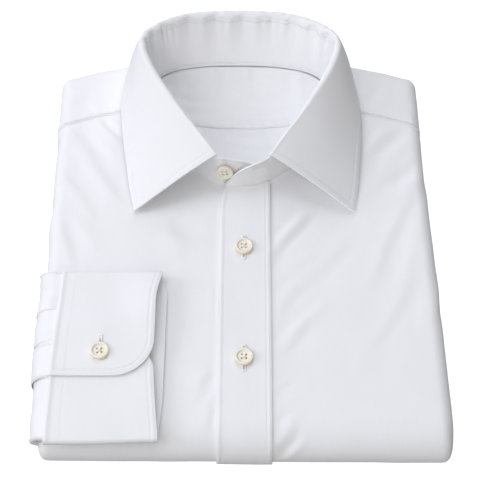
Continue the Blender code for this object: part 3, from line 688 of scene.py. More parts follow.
def poplin(name, stitched_at=(), across_at=()):
    """White cotton poplin: fine upright yarns, faint slubs, and sewn rows at distances from the
    finished edges and, along straight seams, from where the cut starts."""
    colours = bpy.context.scene.shirt_colours
    shader = Shader(name)
    cut = shader.cut("Cut")
    yarns = shader.noise(cut, (1750.0, 95.0, 1.0), 2.0, 0.6)
    picks = shader.noise(cut, (120.0, 2300.0, 1.0), 1.5)
    cloudy = shader.noise(cut, (55.0, 40.0, 1.0), 3.0, 0.55)
    height = yarns * 0.075 + picks * 0.035 + cloudy * 0.2
    edge = shader.node("ShaderNodeAttribute", {"attribute_name": "from_edge"}, {}, "Fac")
    for distance in stitched_at:
        puckers = shader.noise(cut, (330.0, 330.0, 1.0), 1.0)
        height = (height - edge.bell(distance, 0.75) * 0.18 + edge.bell(distance, 3.2) * puckers * 0.2
                  + edge.bell(distance * 0.5, distance * 0.5) * 0.26)
    for distance in across_at:
        start = shader.node("ShaderNodeSeparateXYZ", {}, {0: cut}, "X") * 1000.0
        height = height - start.bell(distance, 0.75) * 0.1
    grain = (yarns * 0.55 + picks * 0.2 + cloudy * 0.25) * 1.6 - 0.3
    return shader.surface(Base_Color=shader.blend(list(colours.cloth_deep), list(colours.cloth), grain),
                          Roughness=yarns * 0.12 + 0.72, Normal=shader.bump(height),
                          Sheen_Weight=0.12, Sheen_Roughness=0.4, Specular_IOR_Level=0.25)


# ------------ fronts and placket

def corner_past(side, p, q):
    """How far past the side and the hem a place lies, p and q as shares of the two rolls. The
    square corner of the panel is drawn in to a quarter circle."""
    share = np.maximum(p, q)
    small = np.where(p >= q, q / np.maximum(p, 1e-9), p / np.maximum(q, 1e-9))
    angle = np.where(p >= q, pi / 4 * small, pi / 2 - pi / 4 * small)
    dx, dy = side * np.cos(angle), -np.sin(angle)
    length = roll_mean(dx, dy) * ROLL_TURN * share
    return dx * length, dy * length


def front_grid(side, inner):
    """Places on the sheet of one front: rows from the hem end up, columns in order of x."""
    flat = side * steps(side * inner, side * side_start(side, 80.0), 1.5)
    across = np.concatenate((flat, np.full(18, flat[-1])))
    p = np.concatenate((np.zeros(len(flat)), np.linspace(0, 1, 19)[1:]))
    q = np.concatenate((np.linspace(1, 0, 29)[:-1], np.zeros(160)))[:, None]
    up = np.concatenate((np.zeros(28), np.linspace(0, 1, 160)))[:, None]
    around = across + side * p * roll_radius(side, 0) * ROLL_TURN
    tuck = (-0.95 + 2.4 * smooth(-10.5, -7.5, across) * (1 - smooth(17, 19.5, across))
            - 0.65 * smooth(60, 66, np.abs(across)))
    y = mix(HEM_START, front_top(around) - tuck, up)
    past_x, past_y = corner_past(side, p, q)
    sway = smooth(64, 100, np.abs(across)) * (side_start(side, y) - side_start(side, 80.0))
    above = y - front_top(around)
    lift = (-0.32 * smooth(-2.6, -1.2, above) * smooth(60, 66, np.abs(across))
            + 0.9 * np.exp(np.minimum(above - 0.95, 0) / 0.9) * (1 - smooth(52, 60, np.abs(across))))
    points = drape(across + sway + past_x, y + past_y, lift)[0]
    return points[:, ::side], stack(around, y + past_y)[:, ::side]


def make_front(node, side, inner):
    """One front panel, from the neckline and the yoke seam round the side and the hem fold."""
    points, cut = front_grid(side, inner)
    piece = cloth_grid(node + "_panel", points, cut)
    finish_cloth(piece, size("ply"))
    dress(piece, node, poplin(node + "_poplin"))


def placket_place(x, y, lift=0.0):
    """Points and normals on the outside of the placket."""
    return drape(x, y, PLACKET_LIFT + lift)


def make_placket():
    """Buttonhole placket: a folded strip with a row of stitches along both edges."""
    share = near_edges(0.0, PLACKET_WIDTH, 1.6, 2.0, 0.4) / PLACKET_WIDTH
    t = np.concatenate((np.linspace(-1, 0, 29)[:-1], np.linspace(0, 1, 150)))[:, None]
    past = roll_mean(0.0, -1.0) * radians(140)
    top = column(PLACKET_TOP, mix(-13.0, PLACKET_RIGHT, share))
    y = np.where(t < 0, HEM_START + t * past, mix(HEM_START, top, np.maximum(t, 0)))
    left = column(PLACKET_EDGE, y)
    x = mix(left, PLACKET_RIGHT, share)
    edge = np.minimum(x - left, PLACKET_RIGHT - x)
    sink = 0.2 * np.exp(-edge / 0.3) - 0.8 * np.exp((y - top) / 0.9)
    piece = cloth_grid("placket_strip", placket_place(x, y, -sink)[0], stack(x, y), edge)
    finish_cloth(piece, 0.95, soft_edge=0.2)
    dress(piece, "placket", poplin("placket_poplin", (PLACKET_STITCH,)))


# ------------ yoke

def side_rim(side, low, high, spacing):
    """Places where the roll starts along one side, and its outward direction there."""
    return [(float(side_start(side, y)), y, 0.0 if side > 0 else pi) for y in steps(low, high, spacing)]


def turns(place, start, end, count=12):
    """One place with its outward direction turning."""
    return [(*place, turn) for turn in np.linspace(start, end, count)]


def rim(side_spacing, end_spacing):
    """Places and outward directions along the roll's start round the shoulder end of the body."""
    left = (float(side_start(-1, 118.0)), float(shoulder_start(118.0)))
    right = (float(side_start(1, 118.0)), float(shoulder_start(116.0)))
    return (side_rim(-1, YOKE_END, left[1], side_spacing)[:-1] + turns(left, pi, pi / 2)
            + [(x, float(shoulder_start(x)), pi / 2) for x in steps(left[0], right[0], end_spacing)[1:-1]]
            + turns(right, pi / 2, 0) + side_rim(1, right[1], YOKE_END, side_spacing)[1:])


def yoke_grid():
    """Places on the sheet of the outer yoke: rows along the rim, columns from the end of the roll
    to the neck."""
    base_x, base_y, turn = np.array(rim(2.0, 2.0)).T[..., None]
    out_x, out_y = np.cos(turn), np.sin(turn)
    angle = np.mod(from_neck(base_x, base_y)[0], 2 * pi)
    angle = np.where(angle > 1.5 * pi, angle - 2 * pi, angle)
    angle = pi / 2 + (angle - pi / 2) * 0.893
    start_x, start_y = round_neck(angle, neck_reach(angle) + 0.3 + smooth(0.3, 0.8, np.sin(angle)))
    past = np.maximum(0, (start_x - base_x) * out_x + (start_y - base_y) * out_y + 3.0)
    roll = mix(past, roll_radius(out_x, out_y) * ROLL_TURN, np.linspace(0, 1, 19))
    t = np.linspace(0, 1, 30)[:-1]
    x = np.hstack((mix(start_x, base_x + out_x * past, t), base_x + out_x * roll))
    y = np.hstack((mix(start_y, base_y + out_y * past, t), base_y + out_y * roll))
    for end in (0, -1):
        pull = yoke_seam(x[end]) - y[end]
        other_side = np.sign(base_x) != np.sign(base_x[end])
        y = y + (1 - smooth(0, 22, np.abs(base_y - base_y[end]) + 60 * other_side)) * pull
    return x, y


def make_yoke():
    """Outer yoke: from its seams with the fronts round the neck and over the shoulders."""
    x, y = (grid[:, ::-1] for grid in yoke_grid())
    from_seam = y - yoke_seam(x)
    ripple = 0.2 * np.sin(x / 1.15 + 1.2 * np.sin(x / 5.0)) * hill(from_seam, 4.6, 2.4)
    lift = (0.05 + 0.24 * (1 - smooth(5.0, 8.0, from_seam)) - 0.2 * np.exp(-np.maximum(from_seam, 0) / 0.5)
            + ripple)
    piece = cloth_grid("yoke_panel", drape(x, y, lift)[0], stack(x, y), from_seam)
    finish_cloth(piece, size("ply"))
    dress(piece, "yoke", poplin("yoke_poplin", (YOKE_STITCH,)))


def bowl_height(x, y):
    """Height of the inside seen through the neck, with soft upright folds at the back."""
    share = neck_share(x, y)
    back = smooth(-0.2, 1.0, np.sin(from_neck(x, y)[0]))
    height = mix(BOWL_FLOOR, mix(24.2, 18.4, back), share ** 2.2)
    folds = 0.95 * np.sin((x + 7) / 3.5 + 0.5 * np.sin(y / 13.0)) + 0.4 * np.sin(x / 1.9 + y / 30.0 + 1.0)
    lines = (0.6 * np.sin(y / 1.9 + 0.7 * np.sin(x / 15.0)) * np.sin(x / 17.0 + 0.8)
             + 0.65 * np.sin(x / 1.25 + 1.3 * np.sin(x / 6.0)) * hill(np.abs(y - NECK[1]), 4.5, 2.5))
    return height + (folds * smooth(0.2, 0.8, share) + lines) * (1 - 0.9 * smooth(0.86, 0.97, share))


def make_inside(node, low, high, sink, side):
    """Half of the inside of the back: from the inner yoke seam out to the stand."""
    angle = np.radians(np.linspace(low, high, 110))[:, None]
    end_x, end_y = round_neck(angle, neck_reach(angle) - 2.3)
    t = np.linspace(0, 1, 46)
    x = mix(mix(NECK[0], end_x, 0.97), end_x, t)
    y = mix(NECK[1] + (0.25 if side > 0 else 1.6), end_y, t)
    edge = np.abs(y - NECK[1])
    puff = (0.25 * (1 - smooth(3.0, 7.0, edge)) - 0.3 * np.exp(-edge / 0.4)) * (side > 0)
    groove = 1.3 * hill(np.hypot(end_x - x, end_y - y), 0, 0.9)
    points = stack(x, y, bowl_height(x, y) - sink + puff - groove)
    piece = cloth_grid(node + "_panel", points, stack(x, y), edge if side > 0 else None)
    finish_cloth(piece, size("ply"))
    dress(piece, node, poplin(node + "_poplin", (INNER_STITCH,) if side > 0 else ()))


# ------------ collar

STAND_SHARES = near_edges(0.0, 30.0, 1.5, 2.0, 0.5) / 30.0
LEAF_U = near_edges(0.0, LAST * COLLAR_STEP, 2.2, 3.2, 0.4) / COLLAR_STEP


def seam_wave(u):
    """How far the seam of stand and leaf is drawn in and out along the collar: broad soft folds
    and closer puckers, uneven."""
    run = COLLAR_STEP * u
    back = smooth(4.0, 7.5, from_ends(u))
    broad = np.sin(run / 3.45 + 0.5 * np.sin(run / 29.0) + 0.6) * (1 + 0.35 * np.sin(run / 17.0))
    close = (0.36 * np.sin(run / 1.15 + 0.9 * np.sin(run / 9.0))
             + 0.28 * np.sin(run / 1.9 + 1.4 * np.sin(run / 13.0)))
    return broad * back, close * back * (1 + 0.5 * np.sin(run / 7.3))


def fold_radius(u):
    """Radius of the leaf's roll: pressed sharper towards the front."""
    return mix(0.85, FOLD_RADIUS, smooth(0.3, 4.5, from_ends(u)))[..., None]


def stand_line(u):
    """Foot and top of the stand's middle line, and its direction up."""
    below = foot(u) - away_from_neck(u) * STAND_REACH
    inner = crest(u) - (over_the_crest(u) + UP) * fold_radius(u)
    up = unit(inner - below)
    drop = catmull(COLLAR_ROUND, u)[..., 9:10]
    return below - up * 1.6, inner - up * (drop - fold_radius(u)), up


def stand_grid():
    """Rows along the stand from its buttoned end to the other, columns from foot to top."""
    below, top, _ = stand_line(np.linspace(0, LAST, 31))
    over, under = (end + np.array((0, 0, -2.4, 0, 0.9, -1.3)) for end in (OVER_END, UNDER_END))
    lines = np.vstack((over, np.hstack((below, top)), under))
    along = np.linspace(0, len(lines) - 1, 420)
    fine = catmull(lines, along)
    t = STAND_SHARES
    points = mix(fine[:, None, 0:3], fine[:, None, 3:6], t[:, None])
    round_u = np.clip((along - len(over)) / 30 * LAST, 0, LAST)
    tangent = np.gradient(points, axis=0)
    out = unit(stack(tangent[..., 1], -tangent[..., 0], 0 * tangent[..., 0]))
    broad, close = (wave[:, None] for wave in seam_wave(round_u))
    ends = 1 - smooth(1.0, 3.0, from_ends(round_u))[:, None]
    wave = broad * t + close * t ** 4 + 0.45 * ends * np.sin(pi * t)
    return points + out * wave[..., None], np.linalg.norm(fine[:, 3:6] - fine[:, 0:3], axis=1)


def make_stand():
    """Collar stand: a fused band round the neck whose ends lap at the front."""
    points, height = stand_grid()
    height, run = height[:, None], arc(points[:, 5], 0)[:, None]
    up = STAND_SHARES * height
    edge = np.minimum(np.minimum(height - up, up - 1.0), np.minimum(run, run[-1] - run) + 1.5)
    piece = cloth_grid("collar_stand_band", points, stack(run, up), edge)
    finish_cloth(piece, size("fused"), 0, soft_edge=0.3)
    dress(piece, "collar_stand", poplin("stand_poplin", (STAND_STITCH,)))


def leaf_section(u):
    """Middle surface of the leaf: rows at u, columns up from the stand, over the crest and down
    to the free edge."""
    _, top, lean = stand_line(u)
    out, radius = over_the_crest(u), fold_radius(u)
    axis = crest(u) - UP * radius
    low, behind = top - lean * 2.2, away_from_neck(u)
    columns = [mix(low, axis - out * radius, t) + behind * back
               for t, back in ((0, 1.15), (0.3, 1.0925), (0.5, 0.6325), (0.75, 0.138))]
    columns += [axis + (out * cos(a) + UP * sin(a)) * radius for a in np.radians(np.linspace(180, 50, 14))]
    start, edge = columns[-1], free_edge(u)
    across = unit(edge - start)
    bend = mix(start, edge, 0.42) + unit(UP - across * across[..., 2:3]) * 2.6
    length = np.linalg.norm(edge - start, axis=-1, keepdims=True)
    rest = np.concatenate((np.linspace(0, 1, 34)[1:] * (1 - 3.0 / length),
                           1 - np.array((2.4, 1.8, 1.2, 0.7, 0.35, 0.0)) / length), axis=1)
    columns += [start * (1 - t) ** 2 + bend * 2 * t * (1 - t) + edge * t ** 2 for t in rest.T[..., None]]
    return np.stack(columns, axis=1)


def leaf_surface():
    """The leaf's middle surface with ripples along its roll and a soft dent in each wing."""
    points = leaf_section(LEAF_U)
    normal = grid_normals(points)
    share = np.linspace(0, 1, points.shape[1])
    broad, close = (wave[:, None] for wave in seam_wave(LEAF_U))
    drawn = (broad + close) * (1 - smooth(0.06, 0.3, share))
    wave = close * 0.7 * smooth(0.08, 0.18, share) * (1 - smooth(0.24, 0.4, share))
    wing = from_ends(LEAF_U)[:, None]
    soft = (0.18 * np.sin(wing * 2.3 + share * 6.0) * smooth(0.3, 0.5, share)
            - 0.5 * hill(wing, 1.4, 1.0) * hill(share, 0.72, 0.16)) * (1 - smooth(0.86, 1.0, share))
    return (points + away_from_neck(LEAF_U)[:, None] * drawn[..., None]
            + normal * (wave + soft)[..., None])


def make_leaf():
    """Collar leaf with its two points, turned over the stand."""
    points = leaf_surface()
    across, along = arc(points, 1), arc(points, 0)
    edge = np.minimum(across[:, -1:] - across, np.minimum(along, along[-1:] - along))
    piece = cloth_grid("collar_leaf_turned", points, stack(LEAF_U[:, None] * COLLAR_STEP, across), edge)
    finish_cloth(piece, size("fused"), 0, soft_edge=0.32)
    dress(piece, "collar_leaf", poplin("leaf_poplin", (LEAF_STITCH,)))


# ------------ cuff

def cuff_seam(y):
    """x of the seam to the sleeve."""
    return CUFF_SEAM - 1.7 * smooth(CUFF_TOP, CUFF_TOP - 68, y)


def upper_mouth(y):
    """x of the upper layer's free edge, which curves out to the folds at both ends."""
    return CUFF_MOUTH + 3.1 * (1 - smooth(0, 28, CUFF_TOP - y)) ** 2 + 5.2 * smooth(-100, -175, y)


def under_mouth(y):
    """x of the lower layer's free edge: further out between the folds, where the cuff stands open."""
    out = 3.5 * (1 - smooth(0, 20, CUFF_TOP - y)) ** 1.6 + 1.7 * smooth(-128, -160, y)
    return CUFF_UNDER_MOUTH - out


def cuff_fold(outermost, start, end):
    """Half a turn of the cuff: rows of y, height and x of the mouth."""
    radius = (CUFF_MID - CUFF_LOW) / 2
    middle = outermost + (1 if start == 90 else -1) * (0.75 + radius)
    mouths = upper_mouth(outermost), under_mouth(outermost)
    return [(middle + radius * cos(a), CUFF_LOW + radius + radius * sin(a), mix(*mouths, (1 - sin(a)) / 2))
            for a in np.radians(np.linspace(start, end, 15))]


def cuff_path():
    """Rows along the cuff round the flattened wrist: y, height and x of the mouth."""
    corner = np.radians(np.linspace(0, 90, 16))
    mouth = upper_mouth(UNDERLAP_END - UNDERLAP_CORNER)
    rows = [(UNDERLAP_END - UNDERLAP_CORNER * (1 - cos(a)), CUFF_MID, mouth - UNDERLAP_CORNER * (1 - sin(a)))
            for a in corner]
    rows += [(y, CUFF_MID, upper_mouth(y)) for y in steps(-117, -155, 2.0)]
    rows += cuff_fold(CUFF_BOTTOM, 90, 270)
    rows += [(y, CUFF_LOW, under_mouth(y)) for y in steps(-154, -50, 4.0)]
    rows += cuff_fold(CUFF_TOP, -90, 90)
    rows += [(y, cuff_upper(y), upper_mouth(y)) for y in steps(-46, FLAP_END + CUFF_CORNER + 1, 1.6)]
    rows += [(FLAP_END + CUFF_CORNER * (1 - sin(a)), CUFF_HIGH, CUFF_MOUTH - CUFF_CORNER * (1 - cos(a)))
             for a in corner]
    return np.array(rows, float)


def cuff_upper(y):
    """Height of the upper layer's middle."""
    return np.where(y > FLAP_END, mix(CUFF_MID, CUFF_HIGH, smooth(-58, -84, y)), CUFF_MID)


def cuff_swell(x, y, height):
    """Soft unevenness of the upper layers: fuller in the middle, pressed down at the button."""
    across, up = np.clip((x - CUFF_SEAM) / 60.0, 0, 1), np.clip((CUFF_TOP - y) / 118.0, 0, 1)
    from_seam = x - cuff_seam(y)
    swell = (0.45 * np.sin(pi * across) * np.sin(pi * up) ** 0.6
             + 0.14 * np.sin(x / 8.0 + y / 13.0) + 0.08 * np.sin(y / 5.1 - x / 17.0)
             + 3.3 * smooth(-84, -52, x) ** 1.5 * hill(y, -62, 19)
             + 0.9 * smooth(-72, -52, x) * smooth(-52, -80, y) * smooth(-160, -128, y)
             + 0.3 * smooth(0.0, 0.6, from_seam) * (1 - smooth(1.7, 2.6, from_seam))
             - 0.5 * hill(x, CUFF_BUTTON[0], 6.5) * hill(y, CUFF_BUTTON[1], 6.5))
    return smooth(CUFF_LOW + 1.5, CUFF_MID, height) * swell


def cuff_edge(x, y, height):
    """Distance from the finished edge of the layer that a place is on."""
    reach = np.where(height < CUFF_MID - 1.9, under_mouth(y), upper_mouth(y)) - x
    middle_x, middle_y = CUFF_MOUTH - CUFF_CORNER, FLAP_END + CUFF_CORNER
    in_corner = (x > middle_x) & (y < middle_y)
    rounded = CUFF_CORNER - np.hypot(x - middle_x, y - middle_y)
    flap = np.where(in_corner, rounded, np.minimum(reach, y - FLAP_END))
    return np.where(height > CUFF_MID + 0.9, flap, reach)


def make_cuff():
    """Barrel cuff, buttoned and pressed flat: one fused band whose ends lap."""
    share = near_edges(0.0, CUFF_REACH, 2.0, 2.4, 0.4) / CUFF_REACH
    y, height, mouth = cuff_path().T[..., None]
    x = mix(cuff_seam(y), mouth, share)
    raised = 1.6 * smooth(-95, -48, x) * smooth(-140, CUFF_BOTTOM, y)
    points = stack(x, y + raised, height + cuff_swell(x, y, height))
    run = arc(stack(0 * y, y, height), 0)
    piece = cloth_grid("cuff_band", points, stack(x - cuff_seam(y), run), cuff_edge(x, y, height))
    finish_cloth(piece, size("fused"), 0, soft_edge=0.3)
    dress(piece, "cuff", poplin("cuff_poplin", (CUFF_STITCH,), CUFF_SEAM_STITCHES[1:]))


# ------------ sleeve

def pleat_height(y):
    """Each pleat lifts the cloth up to its edge and lets it drop below it."""
    height, upper = np.zeros_like(y), -44.0
    for edge in PLEATS:
        inside = (y <= upper) & (y >= edge)
        height = np.where(inside, PLEAT_STEP * np.clip((upper - y) / (upper - edge), 0, 1) ** 1.3, height)
        upper = edge - 0.3
    return height


def sleeve_ring(across):
    """Ring round the flattened sleeve at each distance across: y and height over the body."""
    upper, lower, thick = (column(SLEEVE, across, k)[:, None] for k in (1, 2, 3))
    low, high = 0.75, thick - 0.35
    radius = (high - low) / 2
    turn = np.radians(np.linspace(-90, 90, 12))[1:-1]
    under_y = mix(lower + radius, upper - radius, np.linspace(0, 1, 40))
    under_h = low + 0 * under_y
    stretches = ((upper - radius, PLEATS[0], 22), (PLEATS[0] - 0.3, PLEATS[1], 20),
                 (PLEATS[1] - 0.3, FLAP_END + 2.0, 16), (FLAP_END, lower + radius, 26))
    over_y = np.hstack([mix(start + 0 * radius, end + 0 * radius, np.linspace(0, 1, count))
                        for start, end, count in stretches])
    rise = smooth(-0.5, 4.0, across)[:, None]
    over_h = mix(cuff_upper(over_y) - TOP - 1.0,
                 high - 0.6 + pleat_height(over_y) + 0.6 * (cuff_upper(over_y) - CUFF_MID), rise)
    top_y, top_h = upper - radius + radius * np.cos(turn), low + radius + radius * np.sin(turn)
    end_y, end_h = lower + radius - radius * np.cos(turn), low + radius - radius * np.sin(turn)
    return (np.hstack((under_y, top_y, over_y, end_y, under_y[:, :1])),
            np.hstack((under_h, top_h, over_h, end_h, under_h[:, :1])))


def sleeve_place(across, y, height):
    """Points and normals over the body's left side, across from the cuff's seam."""
    x = cuff_seam(y) - 0.3 - across
    points, normals = drape(x, np.maximum(y, HEM_START), height, creased=0.0)
    points[..., 1] += np.minimum(y - HEM_START, 0)
    return points, normals


def gathers(across, y):
    """Short creases that start at the cuff's seam and fade along the sleeve."""
    return (0.4 * np.sin(y / 2.1 + 0.8 * np.sin(y / 7.0)) * np.exp(-np.maximum(across, 0) / 6.0)
            + 0.3 * np.sin(y / 5.3 + across / 5.0 + 0.6) + 0.2 * np.sin(y / 3.1 - across / 4.0))


def make_sleeve():
    """End of the wearer's right sleeve: a flattened tube that comes round the side."""
    across = steps(-3.0, 30.0, 0.8)
    y, height = sleeve_ring(across)
    far = across[:, None] + 0 * y
    height = height + gathers(far, y) * smooth(1.5, 3.5, height) * smooth(-0.5, 2.0, far)
    points = sleeve_place(far, y, height)[0]
    around = arc(points[:1], 1) + 0 * y
    piece = cloth_grid("sleeve_end", points, stack(arc(points, 0).mean(axis=1, keepdims=True), around))
    finish_cloth(piece, size("ply"), 0, closed=True)
    dress(piece, "sleeve", poplin("sleeve_poplin"))


def make_gauntlet():
    """Strip that finishes the sleeve's slit, on top of the sleeve."""
    across = steps(-2.0, 27.0, 0.8)[:, None]
    y = steps(GAUNTLET[1], GAUNTLET[0], 0.9)[None, :]
    edge = np.minimum(y - GAUNTLET[1], GAUNTLET[0] - y) + 0 * across
    rise = smooth(-0.5, 4.0, across)
    lift = (mix(cuff_upper(y) - TOP - 0.55, column(SLEEVE, across, 3) + 1.0, rise)
            + gathers(across, y) * 0.5 * rise - 0.3 * np.exp(-edge / 0.4))
    points = sleeve_place(across, y, lift)[0]
    piece = cloth_grid("gauntlet_strip", points, stack(arc(points, 0), y), edge)
    finish_cloth(piece, 0.6)
    dress(piece, "sleeve_placket", poplin("gauntlet_poplin", (GAUNTLET_STITCH,)))


# ------------ layers folded up below

def rim_all_round():
    """The roll's start and outward direction all round the body, closed."""
    left, right = float(side_start(-1, HEM_START)), float(side_start(1, HEM_START))
    return np.array(turns((left, HEM_START), 1.5 * pi, pi) + side_rim(-1, HEM_START, YOKE_END, 2.5)[1:-1]
                    + rim(2.5, 3.0) + side_rim(1, YOKE_END, HEM_START, 2.5)[1:-1]
                    + turns((right, HEM_START), 0, -pi / 2)
                    + [(x, HEM_START, -pi / 2) for x in steps(right, left, 3.0)[1:]])


def ring_points(stations, reach, height):
    """Points at a reach out from the roll's start."""
    x, y, turn = stations.T
    return stack(x + np.cos(turn) * reach, y + np.sin(turn) * reach, height)


def ceiling(stations):
    """Height below the rolled front."""
    _, _, turn = stations.T
    return TOP - roll_drop(np.cos(turn), np.sin(turn), pi) - 0.35


def under_sleeve(stations):
    """1 along the side where the sleeve's end comes round, down to 0 past its folds."""
    x, y, turn = stations.T
    return (x < 0) * (np.cos(turn) < -0.8) * smooth(-31, -36, y)


def layer_reach(stations, back, wave):
    """How far a folded layer reaches out: less at the hem, and back under the sleeve."""
    turn, run = stations[:, 2], np.arange(len(stations))
    uneven = 0.45 * np.sin(run / 7.0 + wave) + 0.3 * np.sin(run / 3.1 + 2 * wave)
    reach = (roll_reach(np.cos(turn), np.sin(turn)) - back - 7.2 * np.maximum(0, -np.sin(turn)) ** 2
             + uneven)
    return mix(reach, -9.5, under_sleeve(stations))


def flat_of_rings(stations, points):
    """Flat cut of rings one outside the other: as they lie up to the widest on the floor, then the
    distance over the cloth is laid outwards."""
    heights = points[:, :, 2]
    off_floor = np.ptp(heights, axis=1) + heights.mean(axis=1) > heights[0, 0] + 0.01
    floor = int(np.argmax(off_floor)) - 1
    out = np.maximum(arc(points, 0) - arc(points, 0)[floor], 0)
    outwards = stack(np.cos(stations[:, 2]), np.sin(stations[:, 2]))
    flat = points[:, :, :2].copy()
    flat[floor:] = flat[floor] + outwards * out[floor:, :, None]
    return flat


def make_layer(name, low, high, back, wave, closed_below):
    """One doubled layer whose fold shows as a rounded lip: the ply below, the fold, the ply above.
    low and high are shares of the height below the rolled front."""
    stations = rim_all_round()
    floor, roof = ceiling(stations) * low + 0.25, ceiling(stations) * high - 0.25
    half = (roof - floor) / 2
    reach = layer_reach(stations, back, wave) - half
    edge, middle = ring_points(stations, reach - 1.0, floor), stack(0.0, -10.0, floor)
    inner_rings = np.linspace(0.02, 1, 14) if closed_below else np.linspace(0.8, 1, 6)
    rings = [mix(middle, edge, t) for t in inner_rings]
    rings += [ring_points(stations, reach + half * cos(a), floor + half + half * sin(a))
              for a in np.radians(np.linspace(-90, 90, 11))]
    rings += [ring_points(stations, reach - inward, roof) for inward in (4.0, 9.0, 15.0, 22.0)]
    points = np.array(rings)
    piece = cloth_grid(name, points[:, ::-1], flat_of_rings(stations, points)[:, ::-1])
    finish_cloth(piece, 0.4, 0, closed=True)
    return piece


def below_bowl(points):
    """Points kept under the inside that shows through the neck."""
    x, y, height = points.T
    roof = np.where(neck_share(x, y) < 1.04, bowl_height(x, y) - 2.6, 99.0)
    return stack(x, y, np.minimum(height, np.maximum(roof, 1.0)))


def core_rings():
    """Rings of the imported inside: floor of the neck's hollow, top, sides and flat bottom."""
    stations = rim_all_round()
    x, y, turn = stations.T
    angle, rim_reach = from_neck(x, y)
    start = np.minimum(neck_reach(angle) + 1.2, rim_reach - 4)
    for share in (0.02, 0.45, 0.68, 0.84, 0.94):
        place = round_neck(angle, (start - 1.2) * share)
        yield stack(*place, bowl_height(*place) - 3.0)
    for t in (0.0, 0.2, 0.45, 0.7, 0.9, 1.0):
        reach = mix(start, rim_reach, t)
        place = round_neck(angle, reach)
        below_foot = mix(17.0, 30.0, smooth(1.0, 1.1, reach / neck_reach(angle)))
        yield stack(*place, np.minimum(sheet_height(*place) - 2.0, below_foot))
    out_x, out_y = np.cos(turn), np.sin(turn)
    for a in np.radians((25, 50, 75, 100, 125, 150, 165)):
        reach = (roll_reach(out_x, out_y) - 1.3) * sin(a)
        reach = mix(reach, np.minimum(reach, -1.0), under_sleeve(stations) * (a > 1.8))
        yield ring_points(stations, reach, TOP - roll_drop(out_x, out_y, a) - 1.6 * cos(a))
    for inward in (2.0, 20.0, 60.0):
        yield ring_points(stations, -inward, ceiling(stations) + 0.5)
    yield ring_points(stations, -60.0, ceiling(stations) + 0.5) * np.array((0.02, 0.02, 1.0))


def make_core():
    """Everything folded up between the layers that show."""
    points = np.array([below_bowl(ring) for ring in core_rings()])
    piece = cloth_grid("packed_inside", points, stack(arc(points[8:9], 1), arc(points, 0)))
    weld(piece)
    bpy.ops.object.mode_set(mode="EDIT")
    bpy.ops.mesh.select_all(action="DESELECT")
    bpy.ops.mesh.select_non_manifold()
    bpy.ops.mesh.edge_face_add()
    bpy.ops.mesh.select_all(action="SELECT")
    bpy.ops.mesh.normals_make_consistent(inside=False)
    bpy.ops.object.mode_set(mode="OBJECT")
    bpy.ops.object.shade_smooth_by_angle(angle=radians(60))
    return piece


# ------------ thread

def strand_template():
    """One straight thread from x = -0.5 to 0.5, thinner at its ends: vertices and faces."""
    thread = add(bpy.ops.mesh.primitive_cylinder_add, vertices=5, radius=0.5, depth=1.0,
                 rotation=(0, pi / 2, 0))
    bpy.ops.object.transform_apply(rotation=True)
    bpy.ops.object.mode_set(mode="EDIT")
    for x in (-0.3, 0.0, 0.3):
        bpy.ops.mesh.select_all(action="SELECT")
        bpy.ops.mesh.bisect(plane_co=(x, 0, 0), plane_no=(1, 0, 0))
    bpy.ops.object.mode_set(mode="OBJECT")
    places = np.array([vertex.co for vertex in thread.data.vertices])
    places[:, 1:] *= (1 - 0.55 * (2 * places[:, :1]) ** 4)
    faces = [tuple(face.vertices) for face in thread.data.polygons]
    bpy.data.objects.remove(thread, do_unlink=True)
    return places, faces


def sew(name, start, end, normal, width, arch=0.12):
    """One piece of many threads. Each goes from a start to an end over the cloth, and stands off
    it by arch at its middle. Arrays of points and normals in millimetres."""
    template, faces = strand_template()
    along = unit(end - start)
    side = unit(np.cross(normal, along))
    s, across, up = template.T
    length = np.linalg.norm(end - start, axis=1)[:, None, None]
    middle = ((start + end) / 2)[:, None, :]
    rise = arch * (1 - (2 * s) ** 2) * 1.6 - arch * 0.9
    places = (middle + along[:, None, :] * (s[None, :, None] * length)
              + side[:, None, :] * (across * width)[None, :, None]
              + normal[:, None, :] * (up * width * 0.8 + rise)[None, :, None])
    count = len(template)
    all_faces = [tuple(k * count + v for v in face) for k in range(len(start)) for face in faces]
    mesh = bpy.data.meshes.new(name)
    mesh.from_pydata((places.reshape(-1, 3) * MM).tolist(), [], all_faces)
    piece = bpy.data.objects.new(name, mesh)
    bpy.context.scene.collection.objects.link(piece)
    activate(piece)
    bpy.ops.object.shade_smooth()
    return piece


def stitches(paths, pitch, share=0.7):
    """Starts, ends and normals of running stitches along paths of (points, normals)."""
    rows = []
    for points, normals in paths:
        run = arc(points, 0)
        at = np.arange(pitch * 0.3, run[-1] - pitch, pitch)
        at = at + 0.12 * np.sin(at * 1.7)
        rows.append([np.stack([np.interp(places, run, line) for line in values.T], axis=1)
                     for places, values in ((at, points), (at + pitch * share, points), (at, normals))])
    start, end, normal = (np.vstack(parts) for parts in zip(*rows))
    return start, end, unit(normal)


def sew_rows(name, paths, material):
    """Rows of running stitches as one piece."""
    return trim(sew(name, *stitches(paths, size("stitch")), 0.36), material)


class Patch:
    """A grid of points that curves can be read from, by row and column."""

    def __init__(self, points):
        self.points, self.normals = points, grid_normals(points)

    def curve(self, rows, columns, lift):
        """Points and normals at fractional rows and columns, lifted off the middle surface."""
        rows, columns = np.broadcast_arrays(np.asarray(rows, float), np.asarray(columns, float))
        i = np.clip(rows.astype(int), 0, self.points.shape[0] - 2)
        j = np.clip(columns.astype(int), 0, self.points.shape[1] - 2)
        a, b = (rows - i)[:, None], (columns - j)[:, None]

        def at(grid):
            return mix(mix(grid[i, j], grid[i, j + 1], b), mix(grid[i + 1, j], grid[i + 1, j + 1], b), a)
        normal = unit(at(self.normals))
        return at(self.points) + normal * lift, normal


